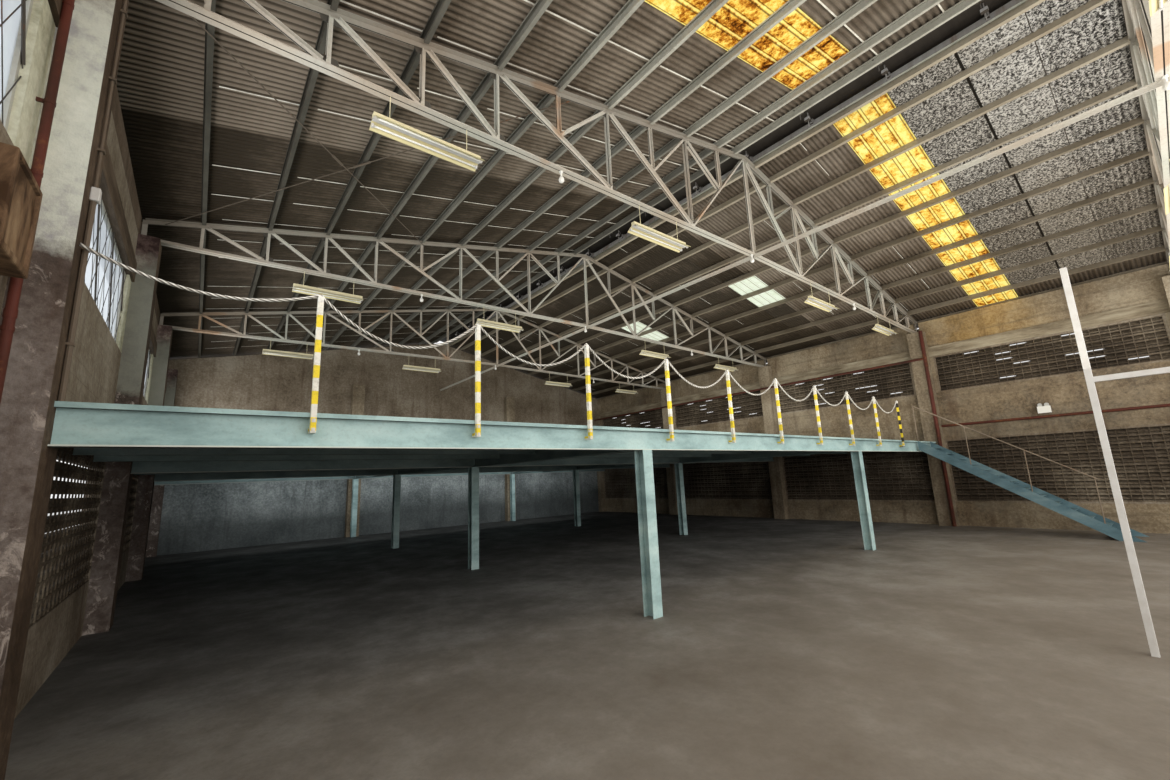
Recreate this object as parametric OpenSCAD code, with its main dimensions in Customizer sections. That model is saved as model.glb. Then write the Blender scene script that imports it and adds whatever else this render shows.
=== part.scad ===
// Factory hall: concrete frame and block walls, trussed steel roof, mezzanine at the far end.
// Millimetres. X runs across the hall, Y towards the far gable, Z up from the ground.

/* [Hall] */
// Distance between truss lines
bay = 6000; // [5600:100:6400]
// Number of bays along the hall
bays = 6; // [4:2:6]
// Purlin spacing on plan, nine spacings to each half truss
purlin_pitch = 1080; // [1000:10:1150]
// Heel post of a truss to the inner face of its column
heel_gap = 580; // [500:20:700]
// Thickness of the floor slab
slab_t = 150; // [100:10:250]

/* [Columns and walls] */
// Side of the square concrete columns
col_w = 500; // [400:10:600]
// Thickness of the block walls
wall_t = 150; // [100:10:180]
// Walls stand back from the outer faces of the columns
wall_back = 50; // [20:5:80]
// Floor to the foot of the lower vent blocks
low_wall_h = 760; // [500:20:900]
// Height of one course of vent blocks
course_h = 200; // [180:5:220]
// Courses in the lower band of vent blocks
low_courses = 10; // [8:1:10]
// Courses in the upper band of vent blocks
top_courses = 6; // [5:1:6]
// Mortar border around each vent block panel
vent_border = 50; // [30:5:70]
// Thickness of the slats in the vent blocks
slat_t = 60; // [40:5:90]
// Height of the plain wall between the two bands
mid_wall_h = 1640; // [1500:20:1700]
// Height of the ring beam over the upper band
ring_h = 350; // [300:10:400]
// How far the ring beam stands proud of the wall inside
ring_proud = 40; // [20:5:80]
// Width of the piers beside the windows
pier_w = 350; // [250:10:500]
// Width of the piers beside the upper vent panels
vent_pier = 100; // [80:10:200]
// Floor to the plaster ledges between the two bands on the right
ledge_z = [3480, 4180]; // [3300:10:4400]
// Height of a plaster ledge
ledge_h = 40; // [30:5:60]
// How far a plaster ledge stands proud
ledge_proud = 20; // [10:5:30]

/* [Windows] */
// Width of the window frame bars
sash_w = 50; // [40:5:70]
// Depth of the window frame through the wall
sash_d = 60; // [40:5:80]
// Lights across one window
window_lights = 6; // [3:1:8]
// Thickness of the glass
glass_t = 6; // [5:1:10]

/* [Trusses] */
// Floor to the bottom chord at mid span
chord_z = 6900; // [6800:20:7200]
// Rise of the bottom chord from heel to mid span
camber = 140; // [100:10:200]
// King post height between chord centre lines
king_h = 2400; // [2200:20:2600]
// Heel post height between chord centre lines
heel_h = 500; // [420:20:600]
// Leg of the chord angles
chord_leg = 75; // [65:5:100]
// Leg of the web angles
web_leg = 50; // [45:5:65]
// Leg of the king post angles
king_leg = 65; // [50:5:75]
// Thickness of the angles
angle_t = 8; // [6:1:10]
// Gap between paired angles, which holds the gusset plates
gusset_t = 12; // [10:1:16]
// Depth to which the gap shows between the legs
groove = 12; // [6:1:15]
// Width of a gusset plate at the bottom chord
plate_w = 280; // [240:10:320]
// Height of a gusset plate over the chord's centre line
plate_h = 130; // [110:10:160]

/* [Roof] */
// Depth of the purlins
purlin_h = 100; // [80:10:150]
// Width of the purlins
purlin_w = 50; // [40:5:65]
// Thickness of the purlin section
purlin_t = 5; // [4:1:8]
// Ridge to the nearest purlin
ridge_purlin = 430; // [400:10:480]
// Depth of the ribbed roof sheets
sheet_t = 30; // [25:1:40]
// Overhang of the sheets past the side columns
eaves_out = 450; // [300:10:600]
// Overhang of the sheets past the end columns
verge_out = 300; // [200:10:450]
// Half width of the open slot along the ridge
ridge_slot = 360; // [300:10:380]
// Half width of the cap over the ridge slot
ridge_cap = 500; // [480:10:560]
// Height of the cap above the sheets
ridge_lift = 180; // [140:10:240]
// Width of a translucent sheet
skylight_w = 1050; // [900:10:1100]
// Spacing of the translucent strips along the hall
skylight_pitch = 5500; // [5300:50:5600]
// First translucent strip, from the near end column line
skylight_start = 4670; // [4000:10:5000]

/* [Mezzanine] */
// Bays covered by the mezzanine at the far end
mezz_bays = 3; // [1:1:3]
// Floor to the walking surface
mezz_z = 2800; // [2600:20:2850]
// Depth of the mezzanine beams
beam_h = 310; // [280:10:340]
// Width of the beam flanges
beam_w = 165; // [140:5:200]
// Thickness of the beam flanges
flange_t = 14; // [10:1:18]
// Thickness of the beam webs
web_t = 9; // [8:1:12]
// Deck thickness
deck_t = 30; // [20:1:40]
// Depth of the joists
joist_h = 180; // [150:10:220]
// Joist spaces in each bay
joist_spaces = 4; // [3:1:5]
// Middle of the hall to the column rows
mezz_col_x = 3950; // [3600:50:4300]
// Width of the steel columns
post_w = 200; // [180:10:230]

/* [Stair] */
// Middle of the hall to the stair's left stringer
stair_x = 8450; // [8200:50:8900]
// Clear width between stringers
stair_w = 1200; // [900:10:1300]
// Number of risers
risers = 15; // [14:1:16]
// Going of each step
going = 290; // [270:5:310]
// Depth of a stringer
stringer_h = 240; // [200:10:260]
// Thickness of a stringer
stringer_t = 12; // [10:1:16]
// Tread thickness
tread_t = 30; // [20:1:40]
// Height of the handrail over the stringer
rail_h = 1130; // [1000:10:1200]
// Diameter of the handrail tube
rail_d = 34; // [30:1:42]
// Diameter of the posts under the handrail
rail_post_d = 26; // [20:1:28]
// Number of posts under the handrail
rail_posts = 4; // [3:1:6]

/* [Rope guard] */
// Spacing of the rope posts
rope_pitch = 1740; // [1650:10:1740]
// First rope post, from the left column face
rope_first = 1720; // [1600:20:1760]
// Number of rope posts
rope_posts_n = 10; // [8:1:10]
// Height of the posts above the deck
rope_post_h = 1190; // [1000:10:1300]
// Reach of the posts down the beam, under the deck
rope_post_foot = 200; // [150:10:250]
// Side of the square rope posts
rope_post_w = 50; // [40:2:60]
// Diameter of the rope
rope_d = 30; // [24:1:36]
// Sag of the rope between posts
rope_sag = 420; // [300:10:500]
// Sag of the rope between the wall column and the first post
rope_first_sag = 210; // [150:10:300]
// Hook on the wall column, above the rope's other knots
rope_hook = 60; // [0:10:150]

/* [Light fittings] */
// Length of a twin-tube fitting
fitting_l = 1380; // [1200:10:1500]
// Width across the reflector wings
fitting_w = 300; // [240:10:340]
// Rise of the reflector wings
wing_rise = 80; // [60:5:100]
// Thickness of the reflector
wing_t = 10; // [8:1:12]
// Width of the housing
housing_w = 70; // [60:5:100]
// Height of the housing
housing_h = 50; // [40:5:70]
// Bottom chord at mid span to the underside of the fittings
fitting_drop = 600; // [450:10:700]

/* [Pipes] */
// Diameter of the risers
riser_d = 110; // [80:5:130]
// Diameter of the pipes along the walls
pipe_d = 80; // [50:5:100]
// Floor to the pipe along the right wall
low_pipe_h = 3330; // [3200:10:3400]
// Floor to the pipe over the mezzanine
high_pipe_h = 5720; // [5500:10:5760]

/* [White frame] */
// Side of the posts and the rail
frame_w = 60; // [50:5:80]
// Height of the posts
frame_h = 4300; // [4000:50:4600]
// Distance between the posts
frame_span = 3500; // [3000:100:4000]
// Floor to the underside of the rail
frame_rail = 2900; // [2700:50:3100]

/* [Doorway] */
// Width of the vehicle doorway in the near end wall
door_w = 5000; // [4000:100:6000]
// Height of the vehicle doorway
door_h = 4500; // [4000:50:4800]
// Side of the rolled shutter's box
shutter_box = 520; // [460:10:600]
// Width of the shutter's side guides
guide_w = 110; // [80:5:140]
// Depth of the shutter's side guides
guide_d = 90; // [60:5:120]

/* [Hidden] */

hall_l = bay * bays;
half_l = hall_l / 2;
half_truss = 9 * purlin_pitch;
col_in = half_truss + heel_gap;
col_out = col_in + col_w;
wall_out = col_out - wall_back;
wall_in = wall_out - wall_t;
end_out = half_l + col_w / 2 - wall_back;
end_in = end_out - wall_t;
line_y = [for (i = [0:bays]) i * bay - half_l];

low_top = slab_t + low_wall_h + low_courses * course_h + 2 * vent_border;
high_foot = low_top + mid_wall_h;
high_top = high_foot + top_courses * course_h + 2 * vent_border;
ring_top = high_top + ring_h;
heel_z = slab_t + chord_z - camber;
seat_z = heel_z - chord_leg / 2;
apex_z = slab_t + chord_z + king_h;
slope = (apex_z - heel_z - heel_h) / half_truss;
pitch_deg = atan(slope);
chord_end = col_in + col_w / 2;
roof_lift = chord_leg / 2 / cos(pitch_deg);
sheet_foot = (col_out + eaves_out) / cos(pitch_deg);
sheet_y = half_l + col_w / 2 + verge_out;

mezz_y = half_l - mezz_bays * bay;
mezz_top = slab_t + mezz_z;
beam_top = mezz_top - deck_t;
beam_foot = beam_top - beam_h;
rise = mezz_z / risers;
rod_sides = 8;
// Openings are cut this much past a face
cut = 1;

concrete = [0.42, 0.37, 0.31];
block = [0.40, 0.35, 0.29];
steel_grey = [0.62, 0.60, 0.56];
steel_blue = [0.37, 0.50, 0.52];
sheet_brown = [0.47, 0.43, 0.39];

// A box from its lowest to its highest corner
module span(low, high) {
    translate(low) cube(high - low);
}

module both_sides() {
    children();
    mirror([1, 0, 0]) children();
}

// Draws along Y an outline given in X and Z
module along_y(from, to) {
    translate([0, to, 0]) rotate([90, 0, 0]) linear_extrude(to - from) children();
}

// Draws along X an outline given in Y and Z
module along_x(from, to) {
    translate([from, 0, 0]) rotate([90, 0, 90]) linear_extrude(to - from) children();
}

// Lies on the right-hand slope: X runs down the slope from the ridge, Z stands off the chords
module on_slope() {
    translate([0, 0, apex_z + roof_lift]) rotate([0, pitch_deg, 0]) children();
}

function roof_line(x) = apex_z + roof_lift - slope * abs(x);

module column_row() {
    for (y = line_y) span([col_in, y - col_w / 2, 0], [col_out, y + col_w / 2, seat_z]);
}

// One piece in each bay, between the columns, on the right-hand side
module per_bay() {
    for (i = [0:bays - 1]) translate([0, line_y[i] + col_w / 2, 0]) children();
}

bay_clear = bay - col_w;

module side_wall() {
    per_bay() {
        span([wall_in, 0, 0], [wall_out, bay_clear, slab_t + low_wall_h]);
        span([wall_in, 0, low_top], [wall_out, bay_clear, high_foot]);
        span([wall_in, 0, ring_top], [wall_out, bay_clear, seat_z]);
    }
}

// A panel of vent blocks: a border with slats across it
module vent_panel(from, to, foot, courses) {
    top = foot + courses * course_h + 2 * vent_border;
    difference() {
        span([wall_in, from, foot], [wall_out, to, top]);
        span([wall_in - 1, from + vent_border, foot + vent_border],
            [wall_out + 1, to - vent_border, top - vent_border]);
    }
    for (k = [0:courses - 1]) translate([0, 0, foot + vent_border + k * course_h])
        span([wall_in, from + vent_border, (course_h - slat_t) / 2],
            [wall_out, to - vent_border, (course_h + slat_t) / 2]);
}

module floor_slab() {
    color(concrete) difference() {
        span([-wall_in, -end_in, 0], [wall_in, end_in, slab_t]);
        both_sides() for (y = line_y)
            span([col_in, y - col_w / 2, -1], [col_out, y + col_w / 2, slab_t + 1]);
        for (x = [-mezz_col_x, mezz_col_x], y = [-half_l, half_l])
            span([x - col_w / 2, y - col_w / 2, -1], [x + col_w / 2, y + col_w / 2, slab_t + 1]);
    }
}

module left_columns() {
    color(concrete) mirror([1, 0, 0]) column_row();
}

module right_columns() {
    color(concrete) column_row();
}

module end_columns() {
    color(concrete) for (x = [-mezz_col_x, mezz_col_x], y = [-half_l, half_l])
        span([x - col_w / 2, y - col_w / 2, 0], [x + col_w / 2, y + col_w / 2, seat_z]);
}

module left_wall() {
    color(block) mirror([1, 0, 0]) side_wall();
}

module right_wall() {
    color(block) {
        side_wall();
        per_bay() for (z = ledge_z) span([wall_in - ledge_proud, 0, slab_t + z],
            [wall_in + ledge_proud, bay_clear, slab_t + z + ledge_h]);
    }
}

module low_vent_blocks() {
    color(block) both_sides() per_bay()
        vent_panel(0, bay_clear, slab_t + low_wall_h, low_courses);
}

module high_vent_blocks() {
    color(block) per_bay() vent_panel(vent_pier, bay_clear - vent_pier, high_foot, top_courses);
}

module pier_pairs(width) {
    per_bay() for (y = [0, bay_clear - width])
        span([wall_in, y, high_foot], [wall_out, y + width, high_top]);
}

module piers() {
    color(block) {
        mirror([1, 0, 0]) pier_pairs(pier_w);
        pier_pairs(vent_pier);
    }
}

window_l = bay_clear - 2 * pier_w;
window_h = high_top - high_foot;

module window_frame() {
    mid = (wall_in + wall_out) / 2;
    translate([mid - sash_d / 2, pier_w, high_foot]) {
        difference() {
            cube([sash_d, window_l, window_h]);
            translate([-1, sash_w, sash_w])
                cube([sash_d + 2, window_l - 2 * sash_w, window_h - 2 * sash_w]);
        }
        for (k = [1:window_lights - 1])
            translate([0, k * window_l / window_lights - sash_w / 2, sash_w])
                cube([sash_d, sash_w, window_h - 2 * sash_w]);
    }
}

module window_frames() {
    color(steel_grey) mirror([1, 0, 0]) per_bay() window_frame();
}

module window_glass() {
    mid = (wall_in + wall_out) / 2;
    color([0.8, 0.85, 0.85, 0.4]) mirror([1, 0, 0]) per_bay() for (k = [0:window_lights - 1]) {
        from = pier_w + (k == 0 ? sash_w : k * window_l / window_lights + sash_w / 2);
        to = pier_w + (k == window_lights - 1
            ? window_l - sash_w : (k + 1) * window_l / window_lights - sash_w / 2);
        span([mid - glass_t / 2, from, high_foot + sash_w],
            [mid + glass_t / 2, to, high_top - sash_w]);
    }
}

module ring_beams() {
    color(concrete) both_sides() per_bay()
        span([wall_in - ring_proud, 0, high_top], [wall_out, bay_clear, ring_top]);
}

truss_half_t = gusset_t / 2 + chord_leg;

module eaves_beams() {
    color(concrete) both_sides() for (i = [0:bays - 1]) {
        from = i == 0 ? -end_out : line_y[i] + truss_half_t;
        to = i == bays - 1 ? end_out : line_y[i + 1] - truss_half_t;
        along_y(from, to) polygon([[wall_in, seat_z], [wall_out, seat_z],
            [wall_out, roof_line(wall_out)], [wall_in, roof_line(wall_in)]]);
    }
}

module end_panel(from, to, foot, top) {
    span([from, end_in, foot], [to, end_out, top]);
}

module far_wall() {
    edge = mezz_col_x + col_w / 2;
    color(block) {
        both_sides() end_panel(edge, col_in, 0, seat_z);
        end_panel(-mezz_col_x + col_w / 2, mezz_col_x - col_w / 2, 0, seat_z);
    }
}

module near_wall() {
    color(block) mirror([0, 1, 0]) both_sides() {
        end_panel(mezz_col_x + col_w / 2, col_in, 0, seat_z);
        end_panel(door_w / 2, mezz_col_x - col_w / 2, 0, slab_t + door_h);
    }
}

module door_lintel() {
    color(concrete) mirror([0, 1, 0])
        end_panel(-mezz_col_x + col_w / 2, mezz_col_x - col_w / 2, slab_t + door_h, seat_z);
}

module gables() {
    color(block) for (y = [-end_out, end_in]) along_y(y, y + wall_t)
        polygon([[-wall_in, seat_z], [wall_in, seat_z], [wall_in, roof_line(wall_in)],
            [0, roof_line(0)], [-wall_in, roof_line(wall_in)]]);
}

module shutter_frame() {
    color(steel_grey) translate([0, -end_in, 0]) {
        both_sides() span([door_w / 2, 0, slab_t],
            [door_w / 2 + guide_w, guide_d, slab_t + door_h]);
        span([-door_w / 2 - guide_w, 0, slab_t + door_h],
            [door_w / 2 + guide_w, shutter_box, slab_t + door_h + shutter_box]);
    }
}

// Truss nodes run from 0 at the heel to 9 at the king post
function node_x(i) = (9 - i) * purlin_pitch;
function foot(i) = [node_x(i), heel_z + camber * i / 9];
function head(i) = [node_x(i), apex_z - slope * node_x(i)];
function middle(a, b) = (a + b) / 2;

posts = [for (i = [0, 1, 2, 3, 5, 7]) [foot(i), head(i)]];
diagonals = [[head(0), foot(1)], [head(1), foot(2)], [head(2), foot(3)], [head(3), foot(5)],
    [head(5), foot(7)], [foot(7), head(9)]];
sub_posts = [[head(4), middle(head(3), foot(5))], [head(6), middle(head(5), foot(7))],
    [head(8), middle(foot(7), head(9))]];
sub_diagonals = [[middle(head(3), foot(5)), head(5)], [middle(head(5), foot(7)), head(7)],
    [middle(foot(7), head(9)), head(7)]];

// A flat strip between two points, offset to one side and cut back at both ends
module strip(a, b, low, high, cut = 0) {
    run = b - a;
    translate(a) rotate(atan2(run[1], run[0])) translate([cut, low])
        square([norm(run) - 2 * cut, high - low]);
}

// A band along a line of points, between two heights off it
module band(points, low, high) {
    n = len(points);
    polygon([for (k = [0:2 * n - 1]) k < n ? points[k] + [0, low] : points[2 * n - 1 - k] + [0, high]]);
}

web_members = concat(posts, diagonals, sub_posts, sub_diagonals);
low_chord = [foot(9), foot(0), [chord_end, heel_z]];
top_chord = [head(9), [chord_end, apex_z - slope * chord_end]];

// The members of half a truss in elevation, drawn narrower by the inset
module half_truss_outline(inset) {
    half = chord_leg / 2 - inset;
    for (m = web_members) strip(m[0], m[1], inset - web_leg / 2, web_leg / 2 - inset);
    strip(foot(9), head(9), inset - king_leg / 2, king_leg / 2 - inset);
    band(low_chord, -half, half);
    band(top_chord, inset - roof_lift, roof_lift - inset);
    polygon([[chord_end - half, seat_z + inset], [chord_end + half, seat_z + inset],
        [chord_end + half, roof_line(chord_end + half) - inset],
        [chord_end - half, roof_line(chord_end - half) - inset]]);
}

// Gusset plates that show over the bottom chord and under the top chord
module gusset_plates() {
    for (i = [1, 2, 3, 5, 7]) translate(foot(i)) gusset_plate(1);
    for (i = [1, 2, 3, 5, 7]) translate(head(i)) gusset_plate(-1);
}

module gusset_plate(way) {
    polygon([[-plate_w / 2, 0], [plate_w / 2, 0], [plate_w / 3, way * plate_h],
        [-plate_w / 3, way * plate_h]]);
}

module truss(line) {
    half = chord_leg / 2;
    web_half_t = gusset_t / 2 + web_leg;
    color(steel_grey) translate([0, line_y[line], 0]) {
        // The legs of the paired angles that lie in the plane of the truss
        for (y = [-gusset_t / 2 - angle_t, gusset_t / 2])
            along_y(y, y + angle_t) both_sides() half_truss_outline(0);
        // Packers and gusset plates between them
        along_y(-gusset_t / 2, gusset_t / 2) both_sides() {
            half_truss_outline(groove);
            gusset_plates();
        }
        // Outstanding legs of the chord angles
        for (y = [-truss_half_t, gusset_t / 2])
            along_y(y, y + chord_leg) both_sides() {
                band(low_chord, -half, -half + angle_t);
                band(top_chord, roof_lift - angle_t, roof_lift);
            }
        // Outstanding legs of the web angles, which stop short of the chords
        for (y = [-web_half_t, gusset_t / 2])
            along_y(y, y + web_leg) {
                both_sides() for (m = web_members)
                    strip(m[0], m[1], -web_leg / 2, -web_leg / 2 + angle_t, chord_leg);
                strip(foot(9), head(9), -king_leg / 2, -king_leg / 2 + angle_t, chord_leg);
            }
    }
}

module truss_1() { truss(1); }
module truss_2() { truss(2); }
module truss_3() { truss(3); }
module truss_4() { truss(4); }
module truss_5() { truss(5); }

purlin_x = concat([for (i = [0:8]) node_x(i)], [ridge_purlin, (wall_in + wall_out) / 2]);

// Channel section standing on the slope, open towards the eaves
module purlin_outline() {
    difference() {
        translate([-purlin_w / 2, 0]) square([purlin_w, purlin_h]);
        translate([-purlin_w / 2 + purlin_t, purlin_t])
            square([purlin_w, purlin_h - 2 * purlin_t]);
    }
}

module purlins() {
    color(steel_grey) both_sides() on_slope() for (x = purlin_x)
        translate([x / cos(pitch_deg), 0, 0]) along_y(-end_out, end_out) purlin_outline();
}

skylight_y = [for (i = [0:bays - 1]) skylight_start - half_l + i * skylight_pitch];
full_strips = bays - mezz_bays;
slot_edge = ridge_slot / cos(pitch_deg);
// Places of the purlins along the slope, counted from the one nearest the ridge
function purlin_run(i) = i * purlin_pitch / cos(pitch_deg);

// A strip of the roof covering between two places along the hall, made deeper to cut
module sheet(from, to, top, bottom, more = 0) {
    span([top, from, purlin_h - more], [bottom, to, purlin_h + sheet_t + more]);
}

module strip_sheet(i, top, bottom, more = 0) {
    sheet(skylight_y[i] - skylight_w / 2, skylight_y[i] + skylight_w / 2, top, bottom, more);
}

module long_strips(top, more = 0) {
    for (i = [0:full_strips - 1]) strip_sheet(i, top - more, sheet_foot + more, more);
}

// Translucent sheets two purlin spaces long, over the mezzanine
module short_strips(more = 0) {
    for (i = [full_strips:bays - 2]) strip_sheet(i, purlin_run(4), purlin_run(6), more);
}

module left_roof() {
    color(sheet_brown) mirror([1, 0, 0]) on_slope() difference() {
        sheet(-sheet_y, sheet_y, slot_edge, sheet_foot);
        long_strips(purlin_run(1) + cut, cut);
    }
}

module right_roof() {
    color(sheet_brown) on_slope() difference() {
        sheet(-sheet_y, sheet_y, slot_edge, sheet_foot);
        long_strips(slot_edge, cut);
        short_strips(cut);
    }
}

module yellow_skylights() {
    color([0.85, 0.68, 0.25, 0.8]) {
        on_slope() long_strips(slot_edge);
        mirror([1, 0, 0]) on_slope() long_strips(purlin_run(1));
    }
}

module white_skylights() {
    color([0.90, 0.92, 0.88, 0.8]) on_slope() short_strips();
}

cap_t = 20;
bracket_t = 40;
brackets = bays * 4;

module ridge_vent() {
    foot_off = purlin_h + sheet_t;
    color(sheet_brown) both_sides() on_slope() {
        span([0, -sheet_y, foot_off + ridge_lift],
            [ridge_cap / cos(pitch_deg), sheet_y, foot_off + ridge_lift + cap_t]);
        for (k = [0:brackets]) translate([0, (k / brackets - 0.5) * (hall_l - bracket_t), 0])
            span([slot_edge + bracket_t / 2, -bracket_t / 2, foot_off],
                [slot_edge + 3 / 2 * bracket_t, bracket_t / 2, foot_off + ridge_lift]);
    }
}

trim_t = 15;

module verge_trims() {
    color(sheet_brown) both_sides() on_slope() for (y = [-sheet_y, sheet_y - trim_t])
        span([0, y, 0], [sheet_foot, y + trim_t, purlin_h]);
}

gutter_w = 180;
gutter_t = 10;

module gutters() {
    top = roof_line(col_out + eaves_out) + purlin_h / 2;
    color(sheet_brown) both_sides() along_y(-sheet_y + trim_t, sheet_y - trim_t)
        translate([col_out + eaves_out - gutter_w / 2, top - gutter_w]) difference() {
            square([gutter_w, gutter_w]);
            translate([gutter_t, gutter_t]) square([gutter_w - 2 * gutter_t, gutter_w]);
        }
}

tie_w = 75;
tie_t = 10;

module chord_tie() {
    top = slab_t + chord_z - chord_leg / 2;
    color(steel_grey) along_y(-end_in, end_in) {
        translate([-tie_w / 2, top - tie_t]) square([tie_w, tie_t]);
        translate([-tie_t / 2, top - tie_w]) square([tie_t, tie_w]);
    }
}

fitting_x = [3150, 7450];
hanger_d = 10;
hanger_off = 500;
hanger_bite = 5;

module wings() {
    polygon([[-fitting_w / 2, 0], [fitting_w / 2, 0], [housing_w / 2, wing_rise],
        [-housing_w / 2, wing_rise]]);
}

// Housing with an open-ended reflector under it
module fitting_outline() {
    translate([-housing_w / 2, wing_rise]) square([housing_w, housing_h]);
    difference() {
        wings();
        translate([0, -wing_t]) wings();
    }
}

// Battery lamp on a ledge of the right wall: a case with two heads that face the hall
lamp_case = [80, 300, 210];
lamp_head_d = 110;
lamp_from_mezzanine = 2900;
lamp_h = 3440;

module emergency_light() {
    seat = wall_in - ledge_proud;
    translate([seat - lamp_case[0], mezz_y - lamp_from_mezzanine, slab_t + lamp_h]) {
        translate([0, -lamp_case[1] / 2, 0]) cube(lamp_case);
        for (side = [-1, 1]) translate([0, side * lamp_case[1] / 4, lamp_case[2] + lamp_head_d / 3])
            rotate([0, 90, 0]) cylinder(d = lamp_head_d, h = lamp_case[0], $fn = 12);
    }
}

module light_fittings() {
    low = slab_t + chord_z - fitting_drop;
    hanger_foot = low + wing_rise + housing_h;
    color([0.85, 0.82, 0.70]) {
        for (i = [1:bays - 1]) both_sides() for (x = fitting_x) translate([x, line_y[i], 0]) {
            under = slab_t + chord_z - camber * x / half_truss - chord_leg / 2 + groove;
            along_x(-fitting_l / 2, fitting_l / 2) translate([0, low]) fitting_outline();
            for (s = [-hanger_off, hanger_off]) translate([s, 0, hanger_foot])
                cylinder(d = hanger_d, h = under - hanger_foot + hanger_bite, $fn = rod_sides);
        }
        emergency_light();
    }
}

// The last frame of the mezzanine stands just inside the columns of the far wall
mezz_lines = [for (i = [bays - mezz_bays:bays])
    i == bays ? half_l - (col_w + max(beam_w, post_w)) / 2 : line_y[i]];

// Outline of a rolled beam, hung from its top edge
module beam_outline(width, depth) {
    difference() {
        translate([-width / 2, -depth]) square([width, depth]);
        both_sides() translate([web_t / 2, -depth + flange_t])
            square([width, depth - 2 * flange_t]);
    }
}

module mezzanine_columns() {
    color(steel_blue) both_sides() for (y = mezz_lines) translate([mezz_col_x, y, slab_t])
        linear_extrude(beam_foot - slab_t) difference() {
            square(post_w, center = true);
            both_sides() translate([web_t / 2, -post_w / 2 + flange_t])
                square([post_w, post_w - 2 * flange_t]);
        }
}

module mezzanine_beams() {
    color(steel_blue) for (y = mezz_lines)
        along_x(y == mezz_lines[mezz_bays] ? -wall_in : -col_in,
            y == mezz_lines[mezz_bays] ? wall_in : col_in)
            translate([y, beam_top]) beam_outline(beam_w, beam_h);
}

module mezzanine_girders() {
    color(steel_blue) both_sides() for (i = [0:mezz_bays - 1])
        along_y(mezz_lines[i] + beam_w / 2, mezz_lines[i + 1] - beam_w / 2)
            translate([mezz_col_x, beam_top]) beam_outline(beam_w, beam_h);
}

module mezzanine_joists() {
    color(steel_blue) for (i = [0:mezz_bays - 1], k = [1:joist_spaces - 1]) {
        y = mezz_lines[i] + k * (mezz_lines[i + 1] - mezz_lines[i]) / joist_spaces;
        both_sides() along_x(mezz_col_x + beam_w / 2, wall_in)
            translate([y, beam_top]) beam_outline(beam_w / 2, joist_h);
        along_x(-mezz_col_x + beam_w / 2, mezz_col_x - beam_w / 2)
            translate([y, beam_top]) beam_outline(beam_w / 2, joist_h);
    }
}

module mezzanine_deck() {
    color(steel_blue) difference() {
        span([-wall_in, mezz_y - beam_w / 2, beam_top], [wall_in, end_in, mezz_top]);
        both_sides() for (y = line_y)
            span([col_in, y - col_w / 2, beam_top - 1], [col_out, y + col_w / 2, mezz_top + 1]);
        for (x = [-mezz_col_x, mezz_col_x])
            span([x - col_w / 2, half_l - col_w / 2, beam_top - 1],
                [x + col_w / 2, half_l + col_w / 2, mezz_top + 1]);
    }
}

stair_y = mezz_y - beam_w / 2;
stair_run = risers * going;

module stair_stringers() {
    drop = stringer_h / cos(atan(rise / going));
    color(steel_blue) for (x = [stair_x, stair_x + stringer_t + stair_w])
        along_x(x, x + stringer_t)
            polygon([[stair_y, mezz_top], [stair_y, mezz_top - drop],
                [stair_y - stair_run + drop * going / rise, slab_t], [stair_y - stair_run, slab_t]]);
}

module stair_treads() {
    color(steel_blue) for (k = [1:risers - 1])
        span([stair_x + stringer_t, stair_y - k * going, mezz_top - k * rise - tread_t - rise / 4],
            [stair_x + stringer_t + stair_w, stair_y - (k - 1) * going,
                mezz_top - k * rise - rise / 4]);
}

module stair_rail() {
    lean = atan(rise / going);
    reach = stair_run - 2 * going;
    color(steel_grey) translate([stair_x + stringer_t / 2, stair_y, mezz_top]) {
        translate([0, 0, rail_h]) rotate([90 + lean, 0, 0])
            cylinder(d = rail_d, h = reach / cos(lean), $fn = rod_sides);
        for (k = [0:rail_posts - 1]) {
            y = (reach - 2 * rail_d) * k / (rail_posts - 1) + rail_d / 2;
            translate([0, -y, -y * rise / going])
                cylinder(d = rail_post_d, h = rail_h, $fn = rod_sides);
        }
    }
}

rope_x = [for (i = [0:rope_posts_n - 1]) -col_in + rope_first + i * rope_pitch];
rope_y = mezz_y - beam_w / 2 - rope_post_w / 2;

// Each post stands in front of the beam, on a stub that reaches back to its web
module rope_posts() {
    foot_z = mezz_top - rope_post_foot;
    color("gold") for (x = rope_x) {
        span([x - rope_post_w / 2, rope_y - rope_post_w / 2, foot_z],
            [x + rope_post_w / 2, rope_y + rope_post_w / 2, mezz_top + rope_post_h]);
        span([x - rope_post_w / 2, rope_y, foot_z],
            [x + rope_post_w / 2, mezz_y - web_t / 2, foot_z + rope_post_w]);
    }
}

rope_z = mezz_top + rope_post_h + rope_d / 2;
rope_steps = 7;
rope_knots = concat([[-col_in, rope_z + rope_hook]], [for (x = rope_x) [x, rope_z]]);
// The rope hangs in a parabola from knot to knot
rope_path = concat([for (i = [0:rope_posts_n - 1], k = [0:rope_steps - 1])
    let (t = k / rope_steps, a = rope_knots[i], b = rope_knots[i + 1],
        sag = i == 0 ? rope_first_sag : rope_sag)
    [a[0] + (b[0] - a[0]) * t, rope_y, a[1] + (b[1] - a[1]) * t - 4 * sag * t * (1 - t)]],
    [[rope_knots[rope_posts_n][0], rope_y, rope_z]]);
rope_sides = 8;

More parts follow.
